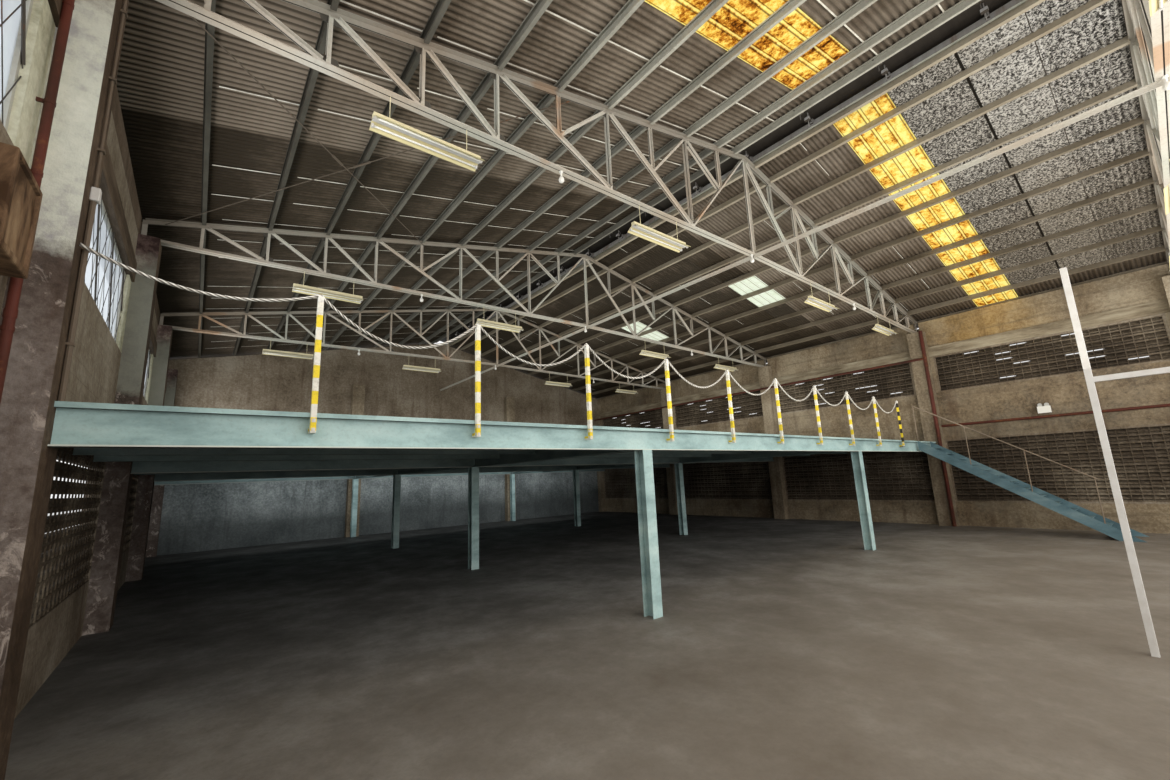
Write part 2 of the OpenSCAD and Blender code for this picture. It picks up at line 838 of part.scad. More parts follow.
// A tube through points that all lie in one upright plane
module tube(path, d, sides) {
    n = len(path);
    points = [for (i = [0:n - 1])
        let (run = path[min(i + 1, n - 1)] - path[max(i - 1, 0)],
            tilt = i == 0 || i == n - 1 ? 0 : atan2(run[2], run[0]))
        for (k = [0:sides - 1])
            let (r = d / 2, a = (k + 0.5) * 360 / sides)
            path[i] + [-sin(tilt) * r * sin(a), r * cos(a), cos(tilt) * r * sin(a)]];
    walls = [for (i = [0:n - 2], k = [0:sides - 1])
        let (m = (k + 1) % sides)
        [i * sides + k, i * sides + m, (i + 1) * sides + m, (i + 1) * sides + k]];
    polyhedron(points, concat([[for (k = [sides - 1:-1:0]) k]], walls,
        [[for (k = [0:sides - 1]) (n - 1) * sides + k]]));
}

module swag_rope() {
    color("white") tube(rope_path, rope_d, rope_sides);
}

// The left riser stands this far off the column
riser_gap = 120;

module wall_pipes() {
    near_face = mezz_y - col_w / 2;
    color([0.32, 0.08, 0.07]) {
        // Along the right wall, from the column at the stair to the near end
        for (i = [0:bays - mezz_bays - 1])
            translate([wall_in - pipe_d / 2, line_y[i] + col_w / 2, slab_t + low_pipe_h])
                rotate([-90, 0, 0]) cylinder(d = pipe_d, h = bay_clear);
        // Riser on the face of that column, and a run over the mezzanine
        translate([col_in - riser_d / 2, near_face + riser_d / 2, slab_t])
            cylinder(d = riser_d, h = seat_z - slab_t);
        translate([col_in - pipe_d / 2, near_face + riser_d / 2, slab_t + high_pipe_h])
            rotate([-90, 0, 0]) cylinder(d = pipe_d, h = half_l - near_face - riser_d / 2);
        // Riser beside the left column
        translate([-wall_in + ring_proud + riser_d / 2, near_face - riser_gap, slab_t])
            cylinder(d = riser_d, h = seat_z - slab_t);
    }
}

frame_x = -1500;
// Far post of the white frame to the edge of the mezzanine
frame_gap = 4800;

module white_frame() {
    y = mezz_y - frame_gap;
    color("white") {
        for (d = [0, frame_span]) span([frame_x - frame_w / 2, y - d - frame_w / 2, slab_t],
            [frame_x + frame_w / 2, y - d + frame_w / 2, slab_t + frame_h]);
        span([frame_x - frame_w / 2, y - frame_span, slab_t + frame_rail],
            [frame_x + frame_w / 2, y, slab_t + frame_rail + frame_w]);
    }
}

floor_slab();
left_columns();
right_columns();
end_columns();
left_wall();
right_wall();
low_vent_blocks();
high_vent_blocks();
piers();
window_frames();
window_glass();
ring_beams();
eaves_beams();
far_wall();
near_wall();
door_lintel();
gables();
shutter_frame();
truss_1();
truss_2();
truss_3();
truss_4();
truss_5();
purlins();
left_roof();
right_roof();
yellow_skylights();
white_skylights();
ridge_vent();
verge_trims();
gutters();
chord_tie();
light_fittings();
mezzanine_columns();
mezzanine_beams();
mezzanine_girders();
mezzanine_joists();
mezzanine_deck();
stair_stringers();
stair_treads();
stair_rail();
rope_posts();
swag_rope();
wall_pipes();
white_frame();
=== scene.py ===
# Looks of the factory hall: ribbed sheets, foil, vent blocks, lights, rope and finishes.
# Metres. X runs across the hall, Y towards the far gable, Z up from the ground.
import math
import random

import bmesh
import bpy
from mathutils import Matrix, Vector


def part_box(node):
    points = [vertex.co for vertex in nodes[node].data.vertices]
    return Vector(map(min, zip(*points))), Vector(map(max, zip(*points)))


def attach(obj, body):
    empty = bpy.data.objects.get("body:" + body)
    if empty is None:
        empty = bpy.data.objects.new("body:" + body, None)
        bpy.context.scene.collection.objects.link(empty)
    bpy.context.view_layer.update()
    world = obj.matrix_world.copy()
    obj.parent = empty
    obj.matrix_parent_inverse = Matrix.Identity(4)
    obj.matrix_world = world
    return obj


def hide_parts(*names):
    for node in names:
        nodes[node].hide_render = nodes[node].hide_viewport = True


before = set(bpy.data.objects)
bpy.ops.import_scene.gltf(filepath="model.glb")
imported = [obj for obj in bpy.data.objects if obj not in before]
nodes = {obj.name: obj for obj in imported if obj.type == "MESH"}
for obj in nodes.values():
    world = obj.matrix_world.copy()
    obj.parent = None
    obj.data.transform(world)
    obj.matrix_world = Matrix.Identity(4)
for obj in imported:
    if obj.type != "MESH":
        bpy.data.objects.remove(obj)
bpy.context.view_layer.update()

# Driving dimensions of the hall
BAY = 6.0
BAYS = 6
HALF_LENGTH = BAY * BAYS / 2
LINES = [i * BAY - HALF_LENGTH for i in range(BAYS + 1)]
PURLIN_PITCH = 1.08
HALF_TRUSS = 9 * PURLIN_PITCH
ROOF_RISE = 2.04
PURLIN_H = 0.1
RIDGE_SLOT = 0.36
RIDGE_PURLIN = 0.43
EAVES_OUT = 0.45
VERGE_Y = 18.55
COLUMN_W = 0.5
COLUMN_IN = 10.3
COLUMN_OUT = 10.8
WALL_IN = 10.6
WALL_OUT = 10.75
WALL_PURLIN = (WALL_IN + WALL_OUT) / 2
BAY_CLEAR = BAY - COLUMN_W
WINDOW_PIER = 0.35
VENT_PIER = 0.1
CHORD_LEG = 0.075
KING_H = 2.4
CAMBER = 0.14
SKYLIGHT_W = 1.05
SKYLIGHT_PITCH = 5.5
SKYLIGHT_FIRST = -13.33
LONG_STRIPS = 3
SHORT_STRIPS = 2

FLOOR_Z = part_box("floor_slab")[1].z
DECK_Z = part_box("mezzanine_deck")[1].z
BEAM_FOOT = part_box("mezzanine_beams")[0].z
RIDGE_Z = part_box("truss_1")[1].z
POST_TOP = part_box("rope_posts")[1].z
PITCH = math.atan(ROOF_RISE / HALF_TRUSS)
RUN = PURLIN_PITCH / math.cos(PITCH)
SHEET_FOOT = (COLUMN_OUT + EAVES_OUT) / math.cos(PITCH)
SLOT_EDGE = RIDGE_SLOT / math.cos(PITCH)
RIDGE_SHEET = RIDGE_PURLIN / math.cos(PITCH)

# The right-hand slope: X runs down from the ridge, Z stands off the chords
RIGHT_SLOPE = Matrix.Translation((0, 0, RIDGE_Z)) @ Matrix.Rotation(PITCH, 4, "Y")
LEFT_SLOPE = Matrix.Scale(-1, 4, (1, 0, 0)) @ RIGHT_SLOPE
SLOPES = {"left": LEFT_SLOPE, "right": RIGHT_SLOPE}
SIDES = {"left": -1, "right": 1}

# Ribbed sheets
RIB_PITCH = 0.1
RIB_H = 0.022
RIB_SIDES = 8
SHEET_METAL = 0.0012
SHEET_MID = PURLIN_H + 0.014
LAP_PITCH = 1.0

# Places along the hall where a finish or a painted light changes
FOIL_SEAM = -3.98
FOIL_RIBS_FROM = -4.93
NEW_SHEETS_END = 2.8
GOLD_LIGHT_Y = -1.7
LAMP_HEADS_FROM = 3.8

# Lipped channels of the purlins
CHANNEL_W = 0.065
CHANNEL_T = 0.004
CHANNEL_LIP = 0.018
CHANNEL_DROP = 0.045
SEAT = 0.07
END_SEAT = 0.35


# Making of pieces

def box_at(bm, low, high, turn=None):
    """Adds a box from its lowest to its highest corner, turned about its own middle."""
    low, high = Vector(low), Vector(high)
    size = high - low
    place = Matrix.Translation((low + high) / 2)
    if turn:
        place = place @ turn
    return bmesh.ops.create_cube(bm, size=1, matrix=place @ Matrix.Diagonal((*size, 1)))["verts"]


def rod_at(bm, start, end, radius, sides=8):
    """Adds a round bar between two points."""
    start, end = Vector(start), Vector(end)
    run = end - start
    place = Matrix.Translation((start + end) / 2) @ run.to_track_quat("Z", "Y").to_matrix().to_4x4()
    return bmesh.ops.create_cone(bm, cap_ends=True, segments=sides, radius1=radius, radius2=radius,
                                 depth=run.length, matrix=place)["verts"]


def mesh_object(name, bm, material, smooth=False):
    """Turns a bmesh into an object of the scene."""
    mesh = bpy.data.meshes.new(name)
    bm.to_mesh(mesh)
    bm.free()
    if smooth:
        mesh.shade_smooth()
    mesh.materials.append(material)
    made = bpy.data.objects.new(name, mesh)
    bpy.context.scene.collection.objects.link(made)
    return made


def piece(name, bm, material, replaces=(), smooth=False, outwards=True):
    """Turns a bmesh into a piece of the building."""
    if outwards:
        bmesh.ops.recalc_face_normals(bm, faces=bm.faces[:])
    made = mesh_object(name, bm, material, smooth)
    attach(made, "root")
    if replaces:
        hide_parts(*replaces)
    return made


def repeat(made, name, step, count):
    """Repeats a piece along a line."""
    array = made.modifiers.new(name, "ARRAY")
    array.use_relative_offset = False
    array.use_constant_offset = True
    array.constant_offset_displace = step
    array.count = count


def on_both_slopes(add):
    """A new bmesh with the same parts on both slopes of the roof."""
    bm = bmesh.new()
    for slope in SLOPES.values():
        bmesh.ops.transform(bm, matrix=slope, verts=add(bm))
    return bm


def rectangle(bm, low, high, width):
    """Adds a border of four boxes between two corners: foot, head, and the sides between them."""
    for z in (low[2], high[2] - width):
        box_at(bm, (low[0], low[1], z), (high[0], high[1], z + width))
    for y in (low[1], high[1] - width):
        box_at(bm, (low[0], y, low[2] + width), (high[0], y + width, high[2] - width))


# Making of finishes

class Nodes:
    """A tree of shader nodes, made by short calls that each add one node."""

    def __init__(self, owner, output):
        owner.use_nodes = True
        self.tree = owner.node_tree
        self.tree.nodes.clear()
        self.output = self.add(output)

    def add(self, kind, settings=None, **inputs):
        made = self.tree.nodes.new(kind)
        for key, value in (settings or {}).items():
            setattr(made, key, value)
        for key, value in inputs.items():
            self.feed(made.inputs[key.replace("_", " ")], value)
        return made

    def feed(self, socket, value):
        if isinstance(value, bpy.types.NodeSocket):
            self.tree.links.new(value, socket)
        else:
            socket.default_value = value

    def in_order(self, made, *values):
        """Feeds a node's first inputs in their order."""
        for socket, value in zip(made.inputs, values):
            self.feed(socket, value)
        return made.outputs[0]

    def maths(self, operation, a, b=0.0):
        return self.in_order(self.add("ShaderNodeMath", {"operation": operation}), a, b)

    def times(self, a, b):
        return self.maths("MULTIPLY", a, b)

    def plus(self, a, b):
        return self.maths("ADD", a, b)

    def rest(self, level):
        """What a level leaves of one."""
        return self.maths("SUBTRACT", 1.0, level)

    def blend(self, *shares):
        """The sum of levels, each with its share."""
        total = None
        for level, share in shares:
            part = self.times(level, share)
            total = part if total is None else self.plus(total, part)
        return total

    def layer(self, share, under, over):
        """One shader over another, by its share."""
        return self.in_order(self.add("ShaderNodeMixShader"), share, under, over)

    def done(self, shader):
        self.feed(self.output.inputs["Surface"], shader)


class Finish(Nodes):
    """A material, with the colours and roughness that several finishes share."""

    def __init__(self, name):
        self.material = bpy.data.materials.new(name)
        super().__init__(self.material, "ShaderNodeOutputMaterial")
        self.place = self.add("ShaderNodeTexCoord").outputs["Object"]

    def scaled(self, scale):
        return self.add("ShaderNodeMapping", Vector=self.place, Scale=scale).outputs[0]

    def noise(self, scale, detail=5, roughness=0.6, place=None, distortion=0):
        return self.add("ShaderNodeTexNoise", Vector=place or self.place, Scale=scale, Detail=detail,
                        Roughness=roughness, Distortion=distortion).outputs["Fac"]

    def axis(self, name, source=None):
        return self.add("ShaderNodeSeparateXYZ", Vector=source or self.place).outputs[name]

    def away(self, name, at=0.0):
        """Distance from a place on an axis."""
        place = self.axis(name)
        return self.maths("ABSOLUTE", self.plus(place, -at) if at else place)

    def facing(self, name):
        """How far the surface faces along an axis, from -1 to 1."""
        return self.axis(name, self.add("ShaderNodeNewGeometry").outputs["Normal"])

    def ramp(self, level, *stops):
        made = self.add("ShaderNodeValToRGB", Fac=level)
        band = made.color_ramp.elements
        while len(band) < len(stops):
            band.new(1)
        for stop, (at, colour) in zip(band, stops):
            stop.position = at
            stop.color = (*colour, 1)
        return made.outputs["Color"]

    def step(self, level, low, high):
        """A level that goes from 0 at low to 1 at high."""
        return self.in_order(self.add("ShaderNodeMapRange"), level, low, high)

    def mix(self, level, a, b):
        made = self.add("ShaderNodeMix", {"data_type": "RGBA"})
        for socket, value in zip((made.inputs[0], made.inputs[6], made.inputs[7]), (level, a, b)):
            self.feed(socket, (*value, 1) if isinstance(value, tuple) and len(value) == 3 else value)
        return made.outputs[2]

    def tint(self, colour, tone, level, low, high, share=1.0):
        """Mixes a tone into a colour as a level goes from low to high, up to a share."""
        amount = self.step(level, low, high)
        return self.mix(amount if share == 1 else self.times(amount, share), colour, tone)

    def by_side(self, left, right):
        """One colour on the window side of the hall and another on the vented side."""
        return self.tint(left, right, self.axis("X"), -0.1, 0.1)

    def bump(self, height, strength, distance, under=None):
        made = self.add("ShaderNodeBump", Height=height, Strength=strength, Distance=distance)
        if under:
            self.feed(made.inputs["Normal"], under)
        return made.outputs[0]

    def surface(self, colour, roughness, metallic=0.0, normal=None):
        colour = (*colour, 1) if isinstance(colour, tuple) else colour
        made = self.add("ShaderNodeBsdfPrincipled", Base_Color=colour, Roughness=roughness, Metallic=metallic)
        if normal:
            self.feed(made.inputs["Normal"], normal)
        return made.outputs[0]

    def coat(self, *surface, **more):
        """Ends a finish that has one opaque surface."""
        self.done(self.surface(*surface, **more))
        return self.material

    def cast(self, dark, mid, light, stain):
        """Cast or plastered wall: broad blotches, fine grit, streaks that run down."""
        level = self.blend((self.noise(0.5, 6, 0.62), 0.6), (self.noise(14, 8, 0.7), 0.4))
        colour = self.ramp(level, (0.38, dark), (0.5, mid), (0.62, light))
        runs = self.noise(1.6, 6, 0.7, self.scaled((1.6, 1.6, 0.16)), 0.4)
        colour = self.tint(colour, stain, runs, 0.52, 0.72, 0.75)
        return self.tint(colour, light, self.noise(3.2, 6, 0.75), 0.58, 0.72, 0.4)

    def rough_cast(self, pits=0.5):
        return self.bump(self.noise(34, 6, 0.7), pits, 0.02, self.bump(self.noise(4.5, 5, 0.6), 0.35, 0.03))

    def height_off_slope(self):
        """How far a point stands off the middle of the roof sheets."""
        lift = self.times(self.maths("SUBTRACT", self.axis("Z"), RIDGE_Z), math.cos(PITCH))
        return self.plus(lift, self.plus(self.times(self.away("X"), math.sin(PITCH)), -SHEET_MID))


BROWN_STAIN = (0.10, 0.062, 0.038)
WALL_TONES = ((0.12, 0.09, 0.06), (0.235, 0.19, 0.14), (0.36, 0.315, 0.25), BROWN_STAIN)


def masonry(name, dark, mid, light, stain=BROWN_STAIN, joints=None):
    """Rough concrete or plaster, with faint block joints where they show."""
    f = Finish(name)
    colour = f.cast(dark, mid, light, stain)
    rough = f.rough_cast()
    if joints:
        course, length = joints
        flat = f.add("ShaderNodeCombineXYZ", X=f.plus(f.axis("X"), f.axis("Y")), Y=f.axis("Z"))
        bricks = f.add("ShaderNodeTexBrick", Vector=flat.outputs[0], Scale=1.0, Mortar_Size=0.006,
                       Mortar_Smooth=0.6, Brick_Width=length, Row_Height=course).outputs["Fac"]
        colour = f.mix(f.times(bricks, 0.3), colour, dark)
        rough = f.bump(f.rest(bricks), 0.35, 0.012, rough)
    return f.coat(colour, 0.92, normal=rough)


def column_plaster():
    """Columns of the window wall: bare and dirty below, white plaster above, grimed at the top, with painted
    shade on the side that faces into the hall.
    """
    f = Finish("column_plaster")
    wander = f.blend((f.noise(1.7, 6, 0.7), 1.1), (f.axis("Z"), 1.0))
    flakes = f.noise(5.5, 8, 0.72, f.scaled((1, 1, 0.7)), 0.8)
    bare = f.cast((0.055, 0.042, 0.035), (0.13, 0.10, 0.085), (0.24, 0.205, 0.185), (0.075, 0.04, 0.025))
    bare = f.tint(bare, (0.42, 0.36, 0.32), flakes, 0.55, 0.62)
    skim = f.ramp(f.blend((f.noise(1.1, 6, 0.7), 0.7), (f.noise(9, 6, 0.7), 0.3)),
                  (0.38, (0.44, 0.43, 0.43)), (0.48, (0.68, 0.70, 0.62)), (0.6, (0.82, 0.83, 0.74)))
    skim = f.tint(skim, (0.15, 0.145, 0.115), f.axis("Y"), 2.0, 4.0, 0.85)
    grime = f.ramp(f.noise(2.4, 7, 0.75), (0.4, (0.045, 0.026, 0.024)), (0.55, (0.16, 0.11, 0.10)),
                   (0.7, (0.5, 0.46, 0.38)))
    colour = f.tint(bare, skim, wander, 4.55, 4.75)
    colour = f.tint(colour, grime, wander, 6.75, 7.1)
    # Painted shade: the side facing into the hall is darker.
    side = f.cast((0.035, 0.024, 0.016), (0.075, 0.05, 0.034), (0.14, 0.10, 0.07), (0.03, 0.018, 0.012))
    colour = f.tint(colour, side, f.facing("X"), 0.6, 0.8)
    outside = f.maths("MAXIMUM", f.step(f.facing("X"), -0.4, -0.6), f.step(f.axis("Y"), -17.8, -17.9))
    colour = f.mix(outside, colour, f.cast(*WALL_TONES))
    return f.coat(colour, 0.9, normal=f.rough_cast(0.4))


def two_plasters(name, axis, at, first, second, outer, foot=None):
    """Plaster with its first tones before a place on an axis, and its second beyond it and outside.

    The first gets dirtier from one height down to another where foot gives them."""
    f = Finish(name)
    facing, inwards, outwards = outer
    beyond = f.maths("MAXIMUM", f.step(f.axis(axis), at - 0.1, at + 0.1),
                     f.step(f.facing(facing), inwards, outwards))
    inside = f.cast(*first)
    if foot:
        inside = f.tint(inside, first[3], f.axis("Z"), *foot, 0.75)
    return f.coat(f.mix(beyond, inside, f.cast(*second)), 0.92, normal=f.rough_cast())


def boarded_concrete(name, left, right):
    """Beams cast in rough boards, with a grain along them: each side's dark, middle and light tone."""
    f = Finish(name)
    grain = f.noise(6, 7, 0.72, f.scaled((1, 0.12, 1)), 0.3)
    level = f.blend((grain, 0.7), (f.noise(0.8, 5, 0.6), 0.3))
    left, right = (f.ramp(level, *zip((0.38, 0.5, 0.64), tones)) for tones in (left, right))
    return f.coat(f.by_side(left, right), 0.9, normal=f.bump(grain, 0.4, 0.02))


def right_wall_plaster():
    """Plaster of the vented wall, grey, with a painted pool of golden light high up under the yellow roof
    strip.
    """
    f = Finish("right_wall_plaster")
    grey = f.cast((0.095, 0.07, 0.045), (0.235, 0.18, 0.115), (0.40, 0.335, 0.235), BROWN_STAIN)
    # Painted light: a golden glow from the yellow roof strip, high on the wall near GOLD_LIGHT_Y.
    painted_gold_light = f.cast((0.15, 0.09, 0.028), (0.36, 0.225, 0.075), (0.52, 0.36, 0.15), (0.15, 0.08, 0.025))
    high = f.step(f.axis("Z"), 5.4, 6.4)
    near = f.rest(f.step(f.away("Y", GOLD_LIGHT_Y), 0.4, 2.2))
    colour = f.mix(f.times(f.times(high, near), 0.75), grey, painted_gold_light)
    colour = f.tint(colour, (0.36, 0.33, 0.26), f.noise(0.9, 5, 0.65), 0.45, 0.7, 0.3)
    lines = f.noise(1.0, 7, 0.75, f.scaled((0.3, 0.3, 6.0)), 0.3)
    colour = f.tint(colour, (0.10, 0.076, 0.05), lines, 0.52, 0.66, 0.45)
    brown = f.cast((0.05, 0.034, 0.022), (0.105, 0.073, 0.05), (0.18, 0.135, 0.10), (0.05, 0.033, 0.02))
    return f.coat(f.by_side(brown, colour), 0.92, normal=f.rough_cast())


def paint(name, colour, dirt, rust=0.0, dust=0.35):
    """Painted steel: dusty patches, darker hollows and a little rust."""
    f = Finish(name)
    patches = f.noise(1.3, 6, 0.65)
    fine = f.noise(22, 6, 0.75)
    shade = f.tint(colour, dirt, patches, 0.42, 0.7, dust)
    shade = f.tint(shade, dirt, fine, 0.5, 0.75, 0.25)
    if rust:
        spread = f.times(f.noise(0.9, 4, 0.6), f.noise(9, 8, 0.8))
        bloom = f.ramp(fine, (0.35, (0.10, 0.035, 0.012)), (0.65, (0.26, 0.10, 0.035)))
        shade = f.tint(shade, bloom, spread, 0.36 - 0.12 * rust, 0.46 - 0.1 * rust)
    return f.coat(shade, f.plus(0.5, f.times(patches, 0.25)), normal=f.bump(fine, 0.12, 0.004))


def truss_primer():
    """Pale primer on the trusses, pink and rusty on a few members, darker towards the eaves, with painted
    shade on the top chords and in the gap between paired angles.
    """
    f = Finish("truss_primer")
    shade = f.ramp(f.noise(0.55, 3, 0.5), (0.36, (0.56, 0.57, 0.51)), (0.5, (0.58, 0.55, 0.49)),
                   (0.62, (0.54, 0.47, 0.39)))
    rusty = f.noise(0.7, 2, 0.5, f.scaled((1.1, 1, 0.8)))
    shade = f.tint(shade, (0.50, 0.30, 0.17), rusty, 0.64, 0.68, 0.7)
    fine = f.noise(20, 6, 0.75)
    shade = f.tint(shade, (0.22, 0.175, 0.13), fine, 0.50, 0.75, 0.4)
    # Painted shade on the top chords, close under the roof.
    under = f.plus(f.height_off_slope(), SHEET_MID)
    shade = f.tint(shade, (0.16, 0.135, 0.105), under, -0.10, -0.075, 0.6)
    # Painted shade: a thin dark line at each truss's middle plane, for the gap between its paired angles.
    bay_place = f.maths("FLOORED_MODULO", f.plus(f.axis("Y"), BAY / 2), BAY)
    angle_gap_shade = f.maths("LESS_THAN", f.maths("ABSOLUTE", f.plus(bay_place, -BAY / 2)), 0.0075)
    shade = f.mix(f.times(angle_gap_shade, 0.9), shade, (0.03, 0.025, 0.02))
    shade = f.tint(shade, (0.10, 0.08, 0.06), f.away("X"), 9.2, 10.4, 0.55)
    return f.coat(shade, 0.55, normal=f.bump(fine, 0.12, 0.004))


def purlin_primer():
    """Purlins: grey on the window side, browner on the other."""
    f = Finish("purlin_primer")
    fine = f.noise(16, 6, 0.75)
    tone = f.noise(0.8, 5, 0.6)
    low = f.ramp(tone, (0.35, (0.05, 0.046, 0.038)), (0.65, (0.11, 0.104, 0.088)))
    high = f.ramp(tone, (0.35, (0.40, 0.39, 0.335)), (0.65, (0.56, 0.555, 0.49)))
    beyond = f.rest(f.times(f.step(f.axis("Y"), -0.3, 0.3), 0.62))
    left = f.mix(f.times(f.step(f.axis("X"), -7.8, -4.5), beyond), low, high)
    right = f.ramp(f.noise(0.9, 5, 0.6, f.scaled((1, 0.5, 1))), (0.35, (0.30, 0.25, 0.18)),
                   (0.65, (0.48, 0.43, 0.34)))
    dim = f.ramp(tone, (0.35, (0.13, 0.105, 0.072)), (0.65, (0.235, 0.20, 0.15)))
    right = f.tint(right, dim, f.axis("X"), 1.0, 6.0)
    shade = f.by_side(left, right)
    shade = f.tint(shade, (0.13, 0.105, 0.075), fine, 0.48, 0.75, 0.4)
    return f.coat(shade, 0.6, normal=f.bump(fine, 0.12, 0.004))


def roof_steel(name, dark, mid, light):
    """Ribbed sheet: brown and dusty below, with painted shade by each lower purlin and in the rib hollows,
    painted window light by the left eaves at the near end, grey above.
    """
    f = Finish(name)
    # Painted shade: each sheet is darker towards the purlin below it.
    cell = f.maths("FRACT", f.maths("DIVIDE", f.away("X"), PURLIN_PITCH))
    broad = f.noise(0.8, 6, 0.62)
    runs = f.noise(1.2, 6, 0.7, f.scaled((0.3, 7.0, 0.3)))
    mottle = f.noise(9, 6, 0.7)
    near = f.rest(f.step(f.axis("Y"), NEW_SHEETS_END - 0.01, NEW_SHEETS_END + 0.03))
    level = f.blend((broad, 0.4), (runs, 0.35), (mottle, 0.25), (cell, -0.20), (near, 0.21))
    below = f.ramp(f.plus(level, -0.05), (0.33, dark), (0.48, mid), (0.62, light))
    # Painted window light: the sheets by the left eaves are lighter at the near end.
    eaves = f.times(near, f.step(f.axis("X"), -7.2, -9.8))
    below = f.mix(f.times(eaves, 0.55), below, tuple(1.7 * tone for tone in light))
    # Painted shade in the hollows of the ribs, deeper towards the left eaves.
    hollow = f.step(f.height_off_slope(), -0.004, RIB_H / 2)
    depth = f.plus(f.times(f.step(f.axis("X"), -8.0, -4.0), -0.4), 0.8)
    below = f.mix(f.times(hollow, depth), below, dark)
    above = f.ramp(f.blend((broad, 0.5), (runs, 0.5)), (0.34, (0.20, 0.13, 0.09)),
                   (0.46, (0.33, 0.31, 0.29)), (0.66, (0.46, 0.46, 0.45)))
    colour = f.tint(below, above, f.facing("Z"), -0.05, 0.05)
    return f.coat(colour, 0.6, 0.15, normal=f.bump(f.noise(60, 4, 0.8), 0.15, 0.003))


def painted_lap_highlight():
    """Painted highlight on the laps of the sheets: pale strips where light catches them."""
    f = Finish("painted_lap_highlight")
    return f.coat(f.ramp(f.noise(6, 4, 0.6), (0.35, (0.62, 0.58, 0.50)), (0.6, (0.90, 0.88, 0.80))), 0.6)


def aged_plastic(name, stops, see_through, spots=0.5):
    """Translucent sheet with stains of dirt and growth, painted shade on the flanks of its ribs and painted
    highlights along their crests.
    """
    f = Finish(name)
    blotch = f.noise(2.4, 8, 0.7, distortion=0.5)
    creep = f.noise(12, 8, 0.82)
    level = f.plus(f.blend((blotch, 0.5), (creep, 0.5)), f.times(f.step(f.axis("X"), -0.1, 0.1), 0.035))
    dark, pale = stops[0][1], stops[3][1]
    colour = f.ramp(level, *stops)
    colour = f.tint(colour, dark, f.noise(16, 8, 0.8, distortion=0.4), 0.60, 0.68, spots)
    # Painted shade on the lower flanks of the ribs and a painted highlight on their crests.
    rise = f.height_off_slope()
    flank = f.times(f.step(rise, -0.010, -0.006), f.step(rise, 0.004, -0.002))
    colour = f.mix(f.times(flank, 0.6), colour, dark)
    colour = f.tint(colour, pale, rise, 0.004, 0.009, 0.8)
    body = f.surface(colour, 0.6, normal=f.bump(creep, 0.1, 0.004))
    f.done(f.layer(see_through, body, f.add("ShaderNodeBsdfTranslucent", Color=colour).outputs[0]))
    return f.material


def crinkled_foil():
    """Foil against the sheets: bright and dark facets a few centimetres across, painted as reflections, with
    painted shade along the ribs, duller down the slope.
    """
    f = Finish("crinkled_foil")
    along = f.axis("Y")
    # The facets' bright and dark colours are painted reflections of the hall.
    speck = f.blend((f.noise(25, 4, 0.75), 0.8), (f.noise(60, 3, 0.6), 0.2))
    # Painted shade along the ribs, from the third width on.
    wave = f.maths("COSINE", f.times(along, 2 * math.pi / RIB_PITCH))
    ribbed_part = f.step(along, FOIL_RIBS_FROM, FOIL_RIBS_FROM - 1.5)
    speck = f.plus(speck, f.times(f.times(wave, ribbed_part), -0.045))
    flat_part = f.times(f.step(along, FOIL_SEAM, FOIL_SEAM - 0.02),
                        f.step(along, FOIL_RIBS_FROM - 0.1, FOIL_RIBS_FROM))
    speck = f.plus(speck, f.times(flat_part, 0.02))
    bright = f.ramp(speck, (0.44, (0.010, 0.009, 0.008)), (0.495, (0.145, 0.138, 0.13)),
                    (0.55, (0.62, 0.61, 0.58)))
    dull = f.ramp(speck, (0.44, (0.02, 0.015, 0.012)), (0.505, (0.105, 0.09, 0.072)),
                  (0.57, (0.42, 0.385, 0.33)))
    down = f.step(f.plus(f.axis("X"), f.times(f.noise(0.8, 4, 0.6), 3.0)), 2.6, 8.5)
    patch = f.step(f.noise(0.65, 4, 0.6), 0.48, 0.66)
    first = f.step(along, FOIL_SEAM, FOIL_SEAM + 0.02)
    dullness = f.maths("MAXIMUM", down, f.maths("MAXIMUM", f.times(patch, 0.6), f.times(first, 0.45)))
    colour = f.mix(dullness, bright, dull)
    seam = f.maths("LESS_THAN", f.away("Y", FOIL_SEAM), 0.022)
    return f.coat(f.mix(seam, colour, (0.012, 0.010, 0.008)), 0.5, 0.1, normal=f.bump(speck, 0.8, 0.02))


def floor_finish():
    """Worn concrete floor, warmer towards the near end, with painted shadow under the mezzanine."""
    f = Finish("worn_floor")
    grit = f.noise(30, 6, 0.7)
    patch = f.noise(1.1, 6, 0.7)
    level = f.blend((f.noise(0.25, 7, 0.62), 0.5), (patch, 0.5))
    colour = f.ramp(level, (0.36, (0.10, 0.097, 0.090)), (0.5, (0.19, 0.185, 0.175)),
                    (0.62, (0.31, 0.305, 0.29)))
    colour = f.tint(colour, (0.08, 0.076, 0.07), grit, 0.45, 0.75, 0.35)
    colour = f.tint(colour, (0.19, 0.148, 0.105), f.axis("Y"), 3.0, -3.0, 0.5)
    # Painted shadow of the mezzanine on the floor under it.
    colour = f.tint(colour, (0.035, 0.037, 0.036), f.axis("Y"), 1.0, 14.0, 0.8)
    dull = f.maths("SUBTRACT", 0.85, f.times(f.step(patch, 0.35, 0.65), 0.3))
    return f.coat(colour, dull, normal=f.bump(grit, 0.15, 0.004, f.bump(patch, 0.1, 0.02)))


def dusty_glass():
    """Clear glass with frost and a film of dust."""
    f = Finish("dusty_glass")
    dust = f.noise(3, 6, 0.7)
    shader = f.add("ShaderNodeBsdfTransparent", Color=(0.95, 0.97, 0.99, 1)).outputs[0]
    film = f.surface(f.ramp(dust, (0.3, (0.72, 0.74, 0.75)), (0.7, (0.85, 0.86, 0.85))), 0.35)
    frost = f.add("ShaderNodeBsdfTranslucent", Color=(0.90, 0.95, 1.0, 1)).outputs[0]
    shader = f.layer(0.45, shader, frost)
    f.done(f.layer(f.times(f.step(dust, 0.4, 0.8), 0.15), shader, film))
    return f.material


